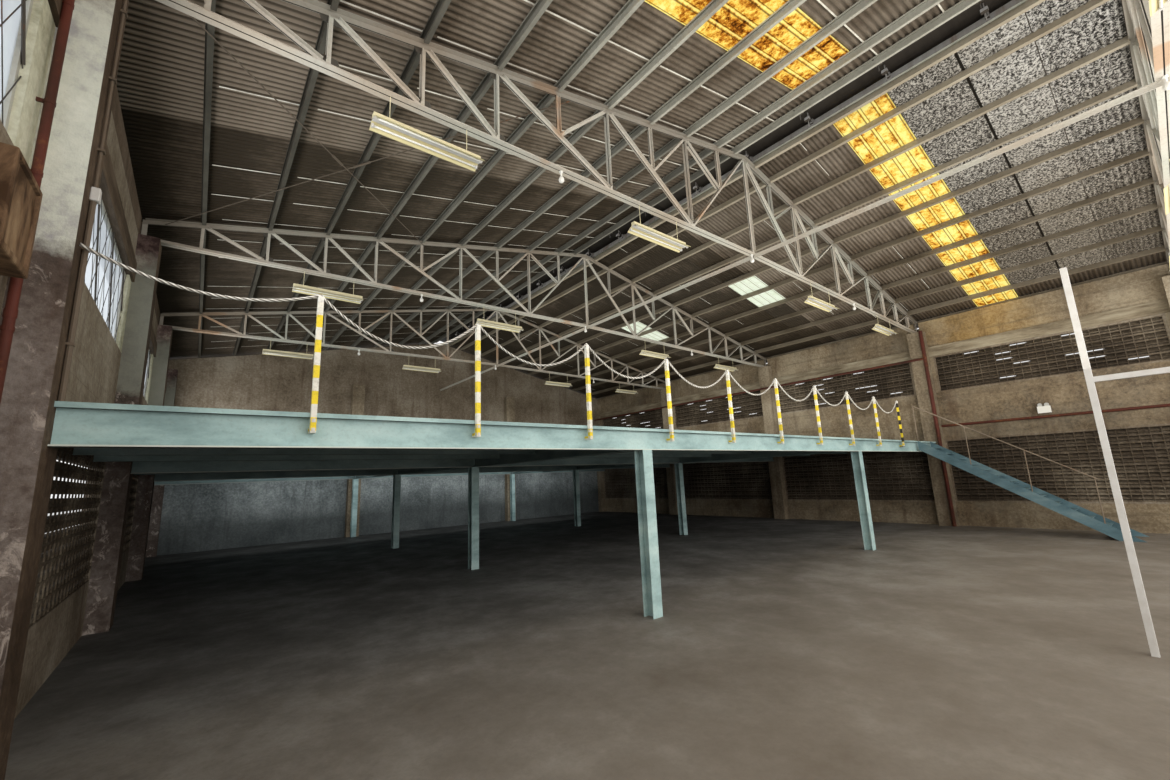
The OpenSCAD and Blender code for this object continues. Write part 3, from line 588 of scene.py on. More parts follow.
def banded_post():
    """Yellow post with white bands under a white cap; the last one is yellow and black."""
    f = Finish("banded_post")
    down = f.maths("SUBTRACT", POST_TOP, f.axis("Z"))
    bands = f.maths("FRACT", f.maths("DIVIDE", f.plus(down, 0.06), 0.26))
    pale = f.tint((0.78, 0.76, 0.68), (0.03, 0.028, 0.025), f.axis("X"), 6.6, 6.7)
    grime = f.noise(18, 6, 0.7)
    colour = f.tint((0.84, 0.64, 0.03), pale, bands, 0.49, 0.51)
    colour = f.mix(f.maths("LESS_THAN", down, 0.07), colour, (0.80, 0.79, 0.74))
    colour = f.tint(colour, (0.16, 0.12, 0.07), grime, 0.5, 0.7, 0.45)
    return f.coat(colour, 0.5, normal=f.bump(grime, 0.1, 0.003))


def laid_rope():
    """White rope, soiled, with painted shade in the grooves between its strands."""
    f = Finish("laid_rope")
    colour = f.tint((0.86, 0.85, 0.80), (0.46, 0.42, 0.35), f.noise(5, 4, 0.6), 0.4, 0.7, 0.4)
    colour = f.tint(colour, (0.30, 0.27, 0.22), f.noise(60, 4, 0.7), 0.5, 0.7, 0.3)
    groove = f.add("ShaderNodeAttribute", {"attribute_name": "groove"}).outputs["Fac"]
    # Painted shade in the grooves between the strands.
    colour = f.tint(colour, (0.09, 0.075, 0.06), groove, 0.2, 0.7, 0.9)
    return f.coat(colour, 0.9, normal=f.bump(f.noise(140, 4, 0.7), 0.4, 0.003))


def enamel(name, colour, dirt, roughness=0.3, inside=None):
    """Glossy enamel, with another tone inside reflectors where it is given, and the wall lamp's own tones."""
    f = Finish(name)
    film = f.noise(7, 5, 0.65)
    shade = f.tint(colour, dirt, film, 0.42, 0.75, 0.4)
    if inside:
        shade = f.tint(shade, inside, f.facing("Z"), 0.05, -0.05)
        wall_lamp = f.ramp(f.step(f.axis("Z"), LAMP_HEADS_FROM - 0.02, LAMP_HEADS_FROM + 0.02),
                           (0, (0.80, 0.79, 0.74)), (1, (0.46, 0.46, 0.44)))
        shade = f.tint(shade, wall_lamp, f.axis("X"), COLUMN_IN - 0.1, COLUMN_IN)
    return f.coat(shade, f.plus(roughness, f.times(film, 0.15)), normal=f.bump(film, 0.05, 0.003))


def mezzanine_paint(name, dark, mid, light):
    """Blue-grey paint with dirt, a painted highlight along the foot of the beams, and painted shadow on
    undersides and on the steel under the deck.
    """
    f = Finish(name)
    shadow = (0.04, 0.046, 0.043)
    height = f.axis("Z")
    patches = f.noise(0.9, 6, 0.65, f.scaled((1, 1, 2.5)))
    shade = f.ramp(patches, (0.36, dark), (0.52, mid), (0.68, light))
    fine = f.noise(26, 6, 0.75)
    shade = f.tint(shade, (0.15, 0.165, 0.14), fine, 0.5, 0.75, 0.3)
    # Painted highlight: a pale line along the foot of the beams' front faces.
    edge = f.times(f.maths("GREATER_THAN", height, BEAM_FOOT), f.maths("LESS_THAN", height, BEAM_FOOT + 0.02))
    shade = f.mix(f.times(edge, f.step(f.facing("Y"), -0.4, -0.6)), shade, (0.62, 0.66, 0.60))
    shade = f.tint(shade, shadow, f.facing("Z"), -0.4, -0.8, 0.85)
    # Painted shadow on the steel under the deck.
    deck = f.times(f.step(height, BEAM_FOOT, BEAM_FOOT + 0.01), f.step(f.axis("Y"), 0.2, 0.6))
    shade = f.mix(f.times(deck, 0.5), shade, shadow)
    return f.coat(shade, f.plus(0.4, f.times(patches, 0.3)), normal=f.bump(fine, 0.1, 0.004))


def old_board():
    """Rusty brown box with a warm rim."""
    f = Finish("old_board")
    grain = f.noise(3.5, 7, 0.7, f.scaled((1, 1.4, 0.5)), 0.5)
    colour = f.ramp(grain, (0.38, (0.055, 0.028, 0.014)), (0.5, (0.17, 0.10, 0.055)),
                    (0.66, (0.30, 0.20, 0.115)))
    return f.coat(colour, 0.75, normal=f.bump(f.noise(20, 6, 0.7), 0.2, 0.006))


rough_concrete = masonry("rough_concrete", (0.12, 0.092, 0.062), (0.26, 0.21, 0.145), (0.41, 0.35, 0.26))
left_concrete = column_plaster()
cast_bands = boarded_concrete("cast_bands",
                              ((0.045, 0.030, 0.019), (0.095, 0.066, 0.045), (0.17, 0.125, 0.09)),
                              ((0.13, 0.10, 0.065), (0.27, 0.225, 0.155), (0.44, 0.39, 0.29)))
block_plaster = masonry("block_plaster", *WALL_TONES, joints=(0.2, 0.4))
right_plaster = right_wall_plaster()
far_blocks = two_plasters("far_blocks", "Z", DECK_Z - 0.15,
                          ((0.10, 0.115, 0.115), (0.27, 0.30, 0.30), (0.52, 0.56, 0.55),
                           (0.06, 0.066, 0.066)),
                          WALL_TONES, ("Y", 0.4, 0.6), foot=(2.1, 1.0))
pale_plaster = two_plasters("pale_plaster", "X", 0.0,
                            ((0.30, 0.29, 0.20), (0.54, 0.53, 0.40), (0.72, 0.72, 0.58), (0.22, 0.21, 0.13)),
                            ((0.16, 0.12, 0.08), (0.30, 0.245, 0.17), (0.44, 0.38, 0.28), BROWN_STAIN),
                            ("X", -0.4, -0.6))
vent_concrete = masonry("vent_concrete", (0.045, 0.034, 0.024), (0.11, 0.085, 0.060),
                        (0.27, 0.225, 0.165), (0.035, 0.025, 0.017))
worn_floor = floor_finish()
truss_grey = truss_primer()
purlin_grey = purlin_primer()
blue_steel = mezzanine_paint("blue_steel", (0.25, 0.37, 0.375), (0.40, 0.56, 0.555), (0.52, 0.67, 0.65))
stair_steel = mezzanine_paint("stair_steel", (0.07, 0.13, 0.155), (0.115, 0.20, 0.235), (0.19, 0.28, 0.30))
sheet_steel = roof_steel("sheet_steel", (0.048, 0.036, 0.024), (0.135, 0.104, 0.076), (0.26, 0.215, 0.17))
# A near-black copy of the sheet finish: painted shade under the ridge cap and on its hangers.
ridge_shade_steel = roof_steel("ridge_shade_steel", (0.014, 0.011, 0.009), (0.03, 0.025, 0.021), (0.06, 0.05, 0.042))
ridge_side = roof_steel("ridge_side", (0.12, 0.125, 0.105), (0.25, 0.26, 0.225), (0.38, 0.39, 0.34))
lap_strip = painted_lap_highlight()
yellow_plastic = aged_plastic("yellow_plastic", (
    (0.41, (0.13, 0.045, 0.008)), (0.465, (0.66, 0.33, 0.045)), (0.515, (0.97, 0.76, 0.24)),
    (0.585, (1.0, 0.95, 0.52))), 0.8, 0.8)
white_plastic = aged_plastic("white_plastic", (
    (0.30, (0.45, 0.42, 0.30)), (0.40, (0.72, 0.74, 0.62)), (0.48, (0.85, 0.90, 0.80)),
    (0.66, (0.93, 0.96, 0.90))), 0.8, 0.2)
foil = crinkled_foil()
window_paint = paint("window_paint", (0.46, 0.46, 0.42), (0.20, 0.17, 0.13), 0.4)
window_glass = dusty_glass()
shutter_steel = paint("shutter_steel", (0.42, 0.43, 0.43), (0.22, 0.19, 0.16), 0.3)
post_yellow = banded_post()
rope_white = laid_rope()
pipe_red = paint("pipe_red", (0.105, 0.026, 0.018), (0.038, 0.017, 0.012), 0.6, dust=0.9)
gloss_white = enamel("gloss_white", (0.66, 0.65, 0.63), (0.42, 0.38, 0.33))
cream_enamel = enamel("cream_enamel", (0.80, 0.76, 0.58), (0.55, 0.49, 0.34), inside=(0.74, 0.66, 0.38))
tube_white = enamel("tube_white", (0.86, 0.86, 0.83), (0.66, 0.64, 0.60), 0.2)
dark_steel = paint("dark_steel", (0.055, 0.05, 0.045), (0.10, 0.08, 0.06), 0.2)
rod_steel = paint("rod_steel", (0.14, 0.115, 0.09), (0.06, 0.045, 0.035), 0.4)
conduit_brown = paint("conduit_brown", (0.15, 0.115, 0.085), (0.07, 0.052, 0.038), 0.2)
rail_brown = paint("rail_brown", (0.24, 0.19, 0.14), (0.12, 0.09, 0.065), 0.2)
box_brown = old_board()

FINISHES = {
    worn_floor: ["floor_slab"],
    left_concrete: ["left_columns"],
    rough_concrete: ["right_columns", "end_columns"],
    cast_bands: ["ring_beams"],
    right_plaster: ["right_wall", "eaves_beams"],
    block_plaster: ["left_wall", "near_wall", "door_lintel", "gables"],
    far_blocks: ["far_wall"],
    pale_plaster: ["piers"],
    vent_concrete: ["low_vent_blocks", "high_vent_blocks"],
    window_paint: ["window_frames"],
    window_glass: ["window_glass"],
    shutter_steel: ["shutter_frame"],
    truss_grey: ["truss_1", "truss_2", "truss_3", "truss_4", "truss_5", "chord_tie"],
    purlin_grey: ["purlins"],
    sheet_steel: ["left_roof", "right_roof", "verge_trims", "gutters"],
    ridge_shade_steel: ["ridge_vent"],
    yellow_plastic: ["yellow_skylights"],
    white_plastic: ["white_skylights"],
    cream_enamel: ["light_fittings"],
    blue_steel: ["mezzanine_columns", "mezzanine_beams", "mezzanine_girders", "mezzanine_joists",
                 "mezzanine_deck"],
    stair_steel: ["stair_stringers", "stair_treads"],
    rail_brown: ["stair_rail"],
    post_yellow: ["rope_posts"],
    rope_white: ["swag_rope"],
    pipe_red: ["wall_pipes"],
    gloss_white: ["white_frame"],
}

for finish, names in FINISHES.items():
    for node_name in names:
        mesh = nodes[node_name].data
        mesh.materials.clear()
        mesh.materials.append(finish)


# Camera at the photo's place, and the rope, whose length is fixed

CAMERA_PLACE = (-9.418, -5.337, 2.208)
CAMERA_HEADING = 39.123
CAMERA_RISE = 10.519
CAMERA_ROLL = -2.420
LENS = 14.665

camera_data = bpy.data.cameras.new("view")
camera_data.lens = LENS
camera_data.sensor_width = 36
camera_data.clip_start = 0.05
camera_data.clip_end = 400
camera = bpy.data.objects.new("view", camera_data)
camera.matrix_world = (Matrix.Translation(CAMERA_PLACE)
                       @ Matrix.Rotation(-math.radians(CAMERA_HEADING), 4, "Z")
                       @ Matrix.Rotation(math.radians(90 + CAMERA_RISE), 4, "X")
                       @ Matrix.Rotation(math.radians(CAMERA_ROLL), 4, "Z"))
bpy.context.scene.collection.objects.link(camera)
bpy.context.scene.camera = camera

ROPE_PITCH = 1.74
ROPE_FIRST = 1.72
ROPE_POSTS = 10
ROPE_D = 0.03
ROPE_SAG = 0.42
ROPE_FIRST_SAG = 0.21
ROPE_HOOK = 0.06
POST_HALF = 0.025
POST_X = [-COLUMN_IN + ROPE_FIRST + i * ROPE_PITCH for i in range(ROPE_POSTS)]
ROPE_STEPS = 116
ROPE_LAY = 0.2
STRANDS = 3
LOBE = 0.16


def rope_route():
    """The rope hangs in a parabola from knot to knot."""
    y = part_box("rope_posts")[0].y + POST_HALF
    z = POST_TOP + ROPE_D / 2
    knots = [(-COLUMN_IN, z + ROPE_HOOK)] + [(x, z) for x in POST_X]
    route = []
    for i, ((xa, za), (xb, zb)) in enumerate(zip(knots, knots[1:])):
        sag = ROPE_SAG if i else ROPE_FIRST_SAG
        for k in range(ROPE_STEPS):
            t = k / ROPE_STEPS
            route.append(Vector((xa + (xb - xa) * t, y, za + (zb - za) * t - 4 * sag * t * (1 - t))))
    return route + [Vector((knots[-1][0], y, z))]


def swag():
    """Three laid strands: a lobed ring that is drawn along the route and turned as it goes."""
    route = rope_route()
    bm = bmesh.new()
    # Groove depth, which the rope's finish turns into painted shade.
    groove = bm.verts.layers.float.new("groove")
    sides = STRANDS * 4
    ring = bmesh.ops.create_circle(bm, segments=sides, radius=ROPE_D / 2, cap_ends=True)["verts"]
    for v in ring:
        v.co *= 1 - LOBE / 2 + LOBE / 2 * math.cos(STRANDS * math.atan2(v.co.y, v.co.x))
    outline = [v.co.copy() for v in ring]
    depths = [1 - (place.length / (ROPE_D / 2) - 1 + LOBE) / LOBE for place in outline]
    edges = [e for e in bm.edges if len(e.link_faces) == 1]
    gone = 0.0
    for i, point in enumerate(route):
        along = (route[min(i + 1, len(route) - 1)] - route[max(i - 1, 0)]).normalized()
        if i:
            gone += (point - route[i - 1]).length
            made = bmesh.ops.extrude_edge_only(bm, edges=edges)["geom"]
            ring = [v for v in made if isinstance(v, bmesh.types.BMVert)]
            edges = [e for e in made if isinstance(e, bmesh.types.BMEdge)]
        turn = Matrix.Rotation(2 * math.pi * gone / ROPE_LAY, 3, "Z")
        frame_at = Matrix((Vector((0, 1, 0)), along.cross(Vector((0, 1, 0))), along)).transposed()
        for v, place, depth in zip(ring, outline, depths):
            v.co = point + frame_at @ (turn @ place)
            v[groove] = depth
    bmesh.ops.contextual_create(bm, geom=edges)
    made = piece("rope", bm, rope_white, ["swag_rope"], smooth=True)


swag()


def post_clamps():
    """Two sleeves on each post's foot, and the pin that holds it to the beam."""
    bm = bmesh.new()
    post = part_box("rope_posts")[0]
    y = post.y + POST_HALF
    low, high, half_sleeve = post.z + 0.03, post.z + 0.12, 0.018
    for x in POST_X:
        for z in (low, high):
            rod_at(bm, (x, y, z - half_sleeve), (x, y, z + half_sleeve), 0.031, 12)
        rod_at(bm, (x, y, low), (x, -0.012, low), 0.010)
    piece("post_clamps", bm, gloss_white)


post_clamps()


# Roof sheets

strips = [SKYLIGHT_FIRST + i * SKYLIGHT_PITCH for i in range(LONG_STRIPS + SHORT_STRIPS)]
SHORT_TOP = 4 * RUN
SHORT_FOOT = 6 * RUN
PLASTIC_RIBS = 4
PLASTIC_RIB_SIDES = 16
PLASTIC_FLAT = 0.55


def sheet(bm, y0, y1, s0, s1, level, down, along):
    """Adds a flat grid that lies between two places along the hall and two down the slope."""
    place = (Matrix.Translation(((s0 + s1) / 2, (y0 + y1) / 2, level))
             @ Matrix.Diagonal((s1 - s0, y1 - y0, 1, 1)))
    return bmesh.ops.create_grid(bm, x_segments=down, y_segments=along, size=0.5, matrix=place)["verts"]


def ribbed(bm, y0, y1, s0, s1, pitch, sides=RIB_SIDES, flat=None):
    """Adds one sheet with ribs down the slope, narrow ones with flats between them where flat is given."""
    waves = max(1, round((y1 - y0) / pitch))
    made = sheet(bm, y0, y1, s0, s1, SHEET_MID, 1, waves * sides)
    for v in made:
        wave = math.cos(2 * math.pi * (v.co.y - y0) * waves / (y1 - y0))
        if flat is None:
            lift = max(-1, min(1, 1.5 * wave))
        else:
            lift = 2 * max(0, (wave - flat) / (1 - flat)) - 1
        v.co.z += RIB_H / 2 * lift
    return made


def roof_side(side):
    """The steel sheets of one slope, cut back round the translucent strips."""
    bm = bmesh.new()
    runs = []
    last = -VERGE_Y
    for i, y in enumerate(strips):
        if side == "left" and i >= LONG_STRIPS:
            break
        a, b = y - SKYLIGHT_W / 2, y + SKYLIGHT_W / 2
        runs.append((last, a, SLOT_EDGE, SHEET_FOOT))
        if i >= LONG_STRIPS:
            runs += [(a, b, SLOT_EDGE, SHORT_TOP), (a, b, SHORT_FOOT, SHEET_FOOT)]
        else:
            runs.append((a, b, SLOT_EDGE, RUN if side == "left" else RIDGE_SHEET))
        last = b
    runs.append((last, VERGE_Y, SLOT_EDGE, SHEET_FOOT))
    for y0, y1, s0, s1 in runs:
        ribbed(bm, y0, y1, s0, s1, RIB_PITCH)
    bmesh.ops.solidify(bm, geom=bm.faces[:], thickness=SHEET_METAL)
    bmesh.ops.transform(bm, matrix=SLOPES[side], verts=bm.verts)
    piece(side + "_roof_sheets", bm, sheet_steel, [side + "_roof"], smooth=True)


def plastic_sheets(name, places, material, replaces):
    """Flat translucent sheets with narrow ribs, each place a slope, a middle, a top and a foot."""
    bm = bmesh.new()
    for side, y, top, foot in places:
        made = ribbed(bm, y - SKYLIGHT_W / 2, y + SKYLIGHT_W / 2, top, foot,
                      SKYLIGHT_W / PLASTIC_RIBS, PLASTIC_RIB_SIDES, PLASTIC_FLAT)
        bmesh.ops.transform(bm, matrix=SLOPES[side], verts=made)
    bmesh.ops.recalc_face_normals(bm, faces=bm.faces[:])
    bmesh.ops.solidify(bm, geom=bm.faces[:], thickness=SHEET_METAL)
    piece(name, bm, material, [replaces])


# Share of the laps that show on each slope, and half their width
LAPS = {"left": (0.97, 0.012), "right": (0.35, 0.006)}
LAP_FIRST = -17.09
LAP_T = 0.002


def lap_lines():
    """Laps between the sheets, drawn as painted highlights: pale lines from the upper purlin down."""
    rng = random.Random(5)
    bm = bmesh.new()
    under = SHEET_MID - RIB_H / 2 - 0.004
    for side, (share, half) in LAPS.items():
        part = []
        for n in range(35):
            y = LAP_FIRST + n * LAP_PITCH
            near = [s for s in strips if abs(y - s) < SKYLIGHT_W / 2 + 0.05]
            for k in range(9):
                if near or rng.random() > share:
                    continue
                top = (k * RUN if k else RIDGE_SHEET) + CHANNEL_W / 2
                foot = (k + 1) * RUN - CHANNEL_W / 2
                end = top + (foot - top) * (0.70 + 0.28 * rng.random())
                part += box_at(bm, (top, y - half, under), (end, y + half, under + LAP_T))
        bmesh.ops.transform(bm, matrix=SLOPES[side], verts=part)
    piece("lap_strips", bm, lap_strip)


FOIL_STEP = 0.05
FOIL_START = -2.875
FOIL_JOINTS = [FOIL_START, FOIL_SEAM + 0.01] + [FOIL_RIBS_FROM - i for i in range(14)]
FOIL_GAP = 0.004
FOIL_LAP = 0.014
FOIL_SAG = 0.012
FOIL_CRUMPLE = 0.010


def foil_blanket():
    """Crinkled foil close under the sheets of the near right-hand slope, ribbed from its third width on."""
    rng = random.Random(11)
    bm = bmesh.new()
    level = SHEET_MID - RIB_H / 2 - 0.008
    for k in range(9):
        s0 = (k * RUN if k else RIDGE_SHEET) + CHANNEL_W / 2 + FOIL_GAP
        s1 = (k + 1) * RUN - CHANNEL_W / 2 - FOIL_GAP
        for y1, y0 in zip(FOIL_JOINTS, FOIL_JOINTS[1:]):
            y0 += FOIL_LAP
            for v in sheet(bm, y0, y1, s0, s1, level, round((s1 - s0) / FOIL_STEP / 1.5),
                           round((y1 - y0) / FOIL_STEP * 1.5)):
                rib = RIB_H / 2 * math.cos(2 * math.pi * v.co.y / RIB_PITCH) if y1 <= FOIL_RIBS_FROM else 0
                v.co.z += rib - FOIL_SAG + FOIL_CRUMPLE * (rng.random() - 0.5)
    bmesh.ops.transform(bm, matrix=RIGHT_SLOPE, verts=bm.verts)
    piece("foil_blanket", bm, foil, outwards=False)


def channel(bm, at, y0, y1, foot):
    """One length of lipped channel along the roof, open down the slope."""
    low, high, t = at - CHANNEL_W / 2, at + CHANNEL_W / 2, CHANNEL_T
    part = box_at(bm, (low, y0, foot), (low + t, y1, PURLIN_H))
    for z, lip in ((foot, foot + t), (PURLIN_H - t, PURLIN_H - t - CHANNEL_LIP)):
        part += box_at(bm, (low + t, y0, z), (high, y1, z + t))
        part += box_at(bm, (high - t, y0, lip), (high, y1, lip + CHANNEL_LIP))
    return part


def purlin_channels():
    """Lipped channels, deeper between the trusses than where they sit on them."""
    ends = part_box("purlins")
    deep = [(a + (END_SEAT if a == LINES[0] else SEAT), b - (END_SEAT if b == LINES[-1] else SEAT))
            for a, b in zip(LINES, LINES[1:])]
    edges = [ends[0].y] + [y for run in deep for y in run] + [ends[1].y]
    seats = list(zip(edges[::2], edges[1::2]))

    def one_slope(bm):
        part = channel(bm, WALL_PURLIN / math.cos(PITCH), ends[0].y, ends[1].y, 0)
        for at in [RIDGE_SHEET] + [k * RUN for k in range(1, 10)]:
            for runs, foot in ((deep, -CHANNEL_DROP), (seats, 0)):
                for y0, y1 in runs:
                    part += channel(bm, at, y0, y1, foot)
        return part

    piece("purlin_channels", on_both_slopes(one_slope), purlin_grey, ["purlins"])


roof_side("left")
roof_side("right")
purlin_channels()
plastic_sheets("yellow_sheets",
               [("right", y, RIDGE_SHEET, SHEET_FOOT) for y in strips[:LONG_STRIPS]]
               + [("left", y, RUN, SHEET_FOOT) for y in strips[:LONG_STRIPS]],
               yellow_plastic, "yellow_skylights")
plastic_sheets("white_sheets", [("right", y, SHORT_TOP, SHORT_FOOT) for y in strips[LONG_STRIPS:]],
               white_plastic, "white_skylights")
lap_lines()
foil_blanket()


def roof_point(x, y, off):
    """A point of the roof over a place on the plan, at a distance off the chords."""
    side = "left" if x < 0 else "right"
    return SLOPES[side] @ Vector((abs(x) / math.cos(PITCH) + off * math.tan(PITCH), y, off))


# Both ends of each brace rod, on the plan
BRACES = (((-10.42, 0.02), (-5.4, 5.98)), ((-5.15, 0.02), (-10.3, 5.98)))
BRACE_LEVEL = -0.07
BRACE_R = 0.009
TURNBUCKLE_R = 0.02


def brace_rods():
    """Crossed rods in the roof's bracing bay, with a turnbuckle on each."""
    bm = bmesh.new()
    for start, end in BRACES:
        a, b = roof_point(*start, BRACE_LEVEL), roof_point(*end, BRACE_LEVEL)
        rod_at(bm, a, b, BRACE_R)
        rod_at(bm, a.lerp(b, 0.46), a.lerp(b, 0.50), TURNBUCKLE_R)
    piece("brace_rods", bm, rod_steel)


brace_rods()

LOUVRE_W = 0.05
LOUVRE_PITCH = 0.06
RIDGE_END = VERGE_Y - 0.02
CAP_FOOT = PURLIN_H + 0.028 + 0.18
HANGER_PITCH = 1.5
HANGER_Y = -16.5
HANGERS = 23


def louvre(bm):
    """The first slat of a side of the ridge."""
    return box_at(bm, (SLOT_EDGE + 0.05, -RIDGE_END, PURLIN_H + 0.03),
                  (SLOT_EDGE + 0.058, -RIDGE_END + LOUVRE_W, CAP_FOOT - 0.001))


def fascia(bm):
    """A strip over the ends of the sheets at the ridge, with its lip under them."""
    edge, foot = SLOT_EDGE - 0.035, PURLIN_H - 0.03
    return (box_at(bm, (edge, -RIDGE_END, foot), (edge + 0.003, RIDGE_END, PURLIN_H + 0.11))
            + box_at(bm, (edge, -RIDGE_END, foot - 0.003), (SLOT_EDGE + 0.01, RIDGE_END, foot)))


def hanger(bm):
    """The first of the dark hangers that hold the ridge cap: a stay, two plates and a rod."""
    knee = (0.14, HANGER_Y, CAP_FOOT - 0.01)
    return (rod_at(bm, (SLOT_EDGE + 0.06, HANGER_Y, PURLIN_H - 0.02), knee, 0.012, 6)
            + box_at(bm, (0.30, HANGER_Y - 0.03, PURLIN_H + 0.03), (0.36, HANGER_Y + 0.03, CAP_FOOT - 0.06))
            + box_at(bm, (0.10, HANGER_Y - 0.05, PURLIN_H - 0.02), (0.16, HANGER_Y + 0.05, PURLIN_H + 0.05))
            + rod_at(bm, knee, (0.20, HANGER_Y, -0.06), 0.011, 6))


louvres = piece("ridge_louvres", on_both_slopes(louvre), ridge_side)
repeat(louvres, "along", (0, LOUVRE_PITCH, 0), int((2 * VERGE_Y - 0.1) / LOUVRE_PITCH))
piece("ridge_fascia", on_both_slopes(fascia), ridge_side)
hangers = piece("ridge_hangers", on_both_slopes(hanger), ridge_shade_steel)
repeat(hangers, "along", (0, HANGER_PITCH, 0), HANGERS)


# Vent blocks

BLOCK_H = 0.2
PANEL_BORDER = 0.05
LOW_COURSES = 10
HIGH_COURSES = 6
RIM = 0.018
RIB_DEPTH = 0.016
BLOCKS = 13
FIN_RUN = 0.126
SLACK_LEAN = 0.24
# Thickness, lean and heights of the two fins in a course
FINS = {"left": (0.057, math.radians(5), (0.0465, 0.1535)),
        "right": (0.022, math.radians(40), (0.062, 0.128))}


def vent_panels(name, side, node, pier, courses, loose=0):
    """One wall's vent blocks, a few with a fin that lies flat, repeated from bay to bay."""
    inner, outer = (WALL_IN, WALL_OUT) if side == "right" else (-WALL_IN, -WALL_OUT)
    x0, x1 = min(inner, outer), max(inner, outer)
    mid = (x0 + x1) / 2
    length = BAY_CLEAR - 2 * pier
    run = (length - 2 * PANEL_BORDER) / BLOCKS
    y0 = LINES[0] + COLUMN_W / 2 + pier
    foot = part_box(node)[0].z
    thick, lean, heights = FINS[side]
    half = FIN_RUN / math.cos(lean) / 2
    turn = Matrix.Rotation(-lean * SIDES[side], 4, "Y")
    slack = Matrix.Rotation(-SLACK_LEAN * SIDES[side], 4, "Y")
    rib_x = sorted((inner, inner + RIB_DEPTH * SIDES[side]))
    start = y0 + PANEL_BORDER
    gone = set(random.Random(3).sample(range(courses * BLOCKS), loose))
    bm = bmesh.new()
    for course in range(courses):
        z = foot + PANEL_BORDER + course * BLOCK_H
        for rim in (z, z + BLOCK_H - RIM):
            box_at(bm, (x0, start, rim), (x1, start + run * BLOCKS, rim + RIM))
        for k in range(BLOCKS):
            y = start + k * run
            for at in (y, y + run / 2):
                box_at(bm, (rib_x[0], at, z + RIM), (rib_x[1], at + RIM, z + BLOCK_H - RIM))
            for n, fin in enumerate(heights):
                low = n and course * BLOCKS + k in gone
                box_at(bm, (mid - half, y, z + fin - thick / 2), (mid + half, y + run, z + fin + thick / 2),
                       slack if low else turn)
    made = piece(name, bm, vent_concrete, [node])
    repeat(made, "bays", (0, BAY, 0), BAYS)
    bm = bmesh.new()
    top = foot + courses * BLOCK_H + 2 * PANEL_BORDER
    rectangle(bm, (x0, y0, foot), (x1, y0 + length, top), PANEL_BORDER)
    rims = piece(name + "_border", bm, block_plaster, [node])
    repeat(rims, "bays", (0, BAY, 0), BAYS)


vent_panels("low_vents_left", "left", "low_vent_blocks", 0, LOW_COURSES)
vent_panels("low_vents_right", "right", "low_vent_blocks", 0, LOW_COURSES)
vent_panels("high_vents", "right", "high_vent_blocks", VENT_PIER, HIGH_COURSES, loose=11)


# Window bars

SASH_W = 0.05
MULLION_D = 0.006
MULLION_W = 0.02
WINDOW_LIGHTS = 6
# Lean along the wall for each metre up, pitch, radius and offset of the bars over the windows
BARS = ((-0.62, 1.3, 0.011, 0.0), (0.62, 0.48, 0.004, 0.0), (-0.62, 0.48, 0.0035, 0.24))


def window_frame():
    """Each bay's steel frame with its flat glazing bars."""
    bm = bmesh.new()
    low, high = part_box("window_frames")
    mid = (low.x + high.x) / 2
    y0 = LINES[0] + COLUMN_W / 2 + WINDOW_PIER
    y1 = y0 + BAY_CLEAR - 2 * WINDOW_PIER
    rectangle(bm, (low.x, y0, low.z), (high.x, y1, high.z), SASH_W)
    for k in range(1, WINDOW_LIGHTS):
        y = y0 + (y1 - y0) * k / WINDOW_LIGHTS
        box_at(bm, (mid - MULLION_D / 2, y - MULLION_W / 2, low.z + SASH_W),
               (mid + MULLION_D / 2, y + MULLION_W / 2, high.z - SASH_W))
    made = piece("window_frame", bm, window_paint, ["window_frames"])
    repeat(made, "bays", (0, BAY, 0), BAYS)


window_frame()


def window_bars():
    """Slanting bars over the windows: a few broad ones one way, thin ones both ways."""
    bm = bmesh.new()
    low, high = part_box("window_frames")
    x = high.x + 0.012
    h = high.z - low.z
    for line in LINES[:-1]:
        y0 = line + COLUMN_W / 2 + WINDOW_PIER
        y1 = line + BAY - COLUMN_W / 2 - WINDOW_PIER
        for lean, pitch, radius, offset in BARS:
            at = y0 - h + offset
            while at < y1 + h:
                ends = []
                for y in (at, at + lean * h):
                    y = min(max(y, y0), y1)
                    ends.append((x, y, low.z + (y - at) / lean))
                if abs(ends[1][1] - ends[0][1]) > 0.06:
                    rod_at(bm, ends[0], ends[1], radius, 6)
                at += pitch
    piece("window_bars", bm, dark_steel)


window_bars()


# Lights

FITTING_X = (3.15, 7.45)
FITTING_L = 1.38
FITTING_DROP = 0.6
BULB_X = (-5.37, -0.07, 5.25)
BULB_R = 0.045


def chord_foot(x):
    """The underside of a truss's bottom chord."""
    return RIDGE_Z - KING_H - CHORD_LEG / 2 / math.cos(PITCH) - CHORD_LEG / 2 - CAMBER * abs(x) / HALF_TRUSS


def tubes():
    """Two tubes in each reflector, with their holders and the strip between them."""
    bm = bmesh.new()
    holders = bmesh.new()
    base = chord_foot(0) + CHORD_LEG / 2 - FITTING_DROP
    for line in LINES[1:-1]:
        for side in SIDES.values():
            for at in FITTING_X:
                x0, x1 = side * at - FITTING_L / 2, side * at + FITTING_L / 2
                for way in (-1, 1):
                    y = line + way * 0.075
                    rod_at(bm, (x0 + 0.03, y, base + 0.02), (x1 - 0.03, y, base + 0.02), 0.013, 10)
                    for end in (x0 + 0.004, x1 - 0.03):
                        box_at(holders, (end, y - 0.018, base + 0.002), (end + 0.026, y + 0.018, base + 0.04))
                box_at(holders, (x0, line - 0.03, base + 0.045), (x1, line + 0.03, base + 0.068))
    piece("light_tubes", bm, tube_white, smooth=True)
    piece("tube_holders", holders, gloss_white)


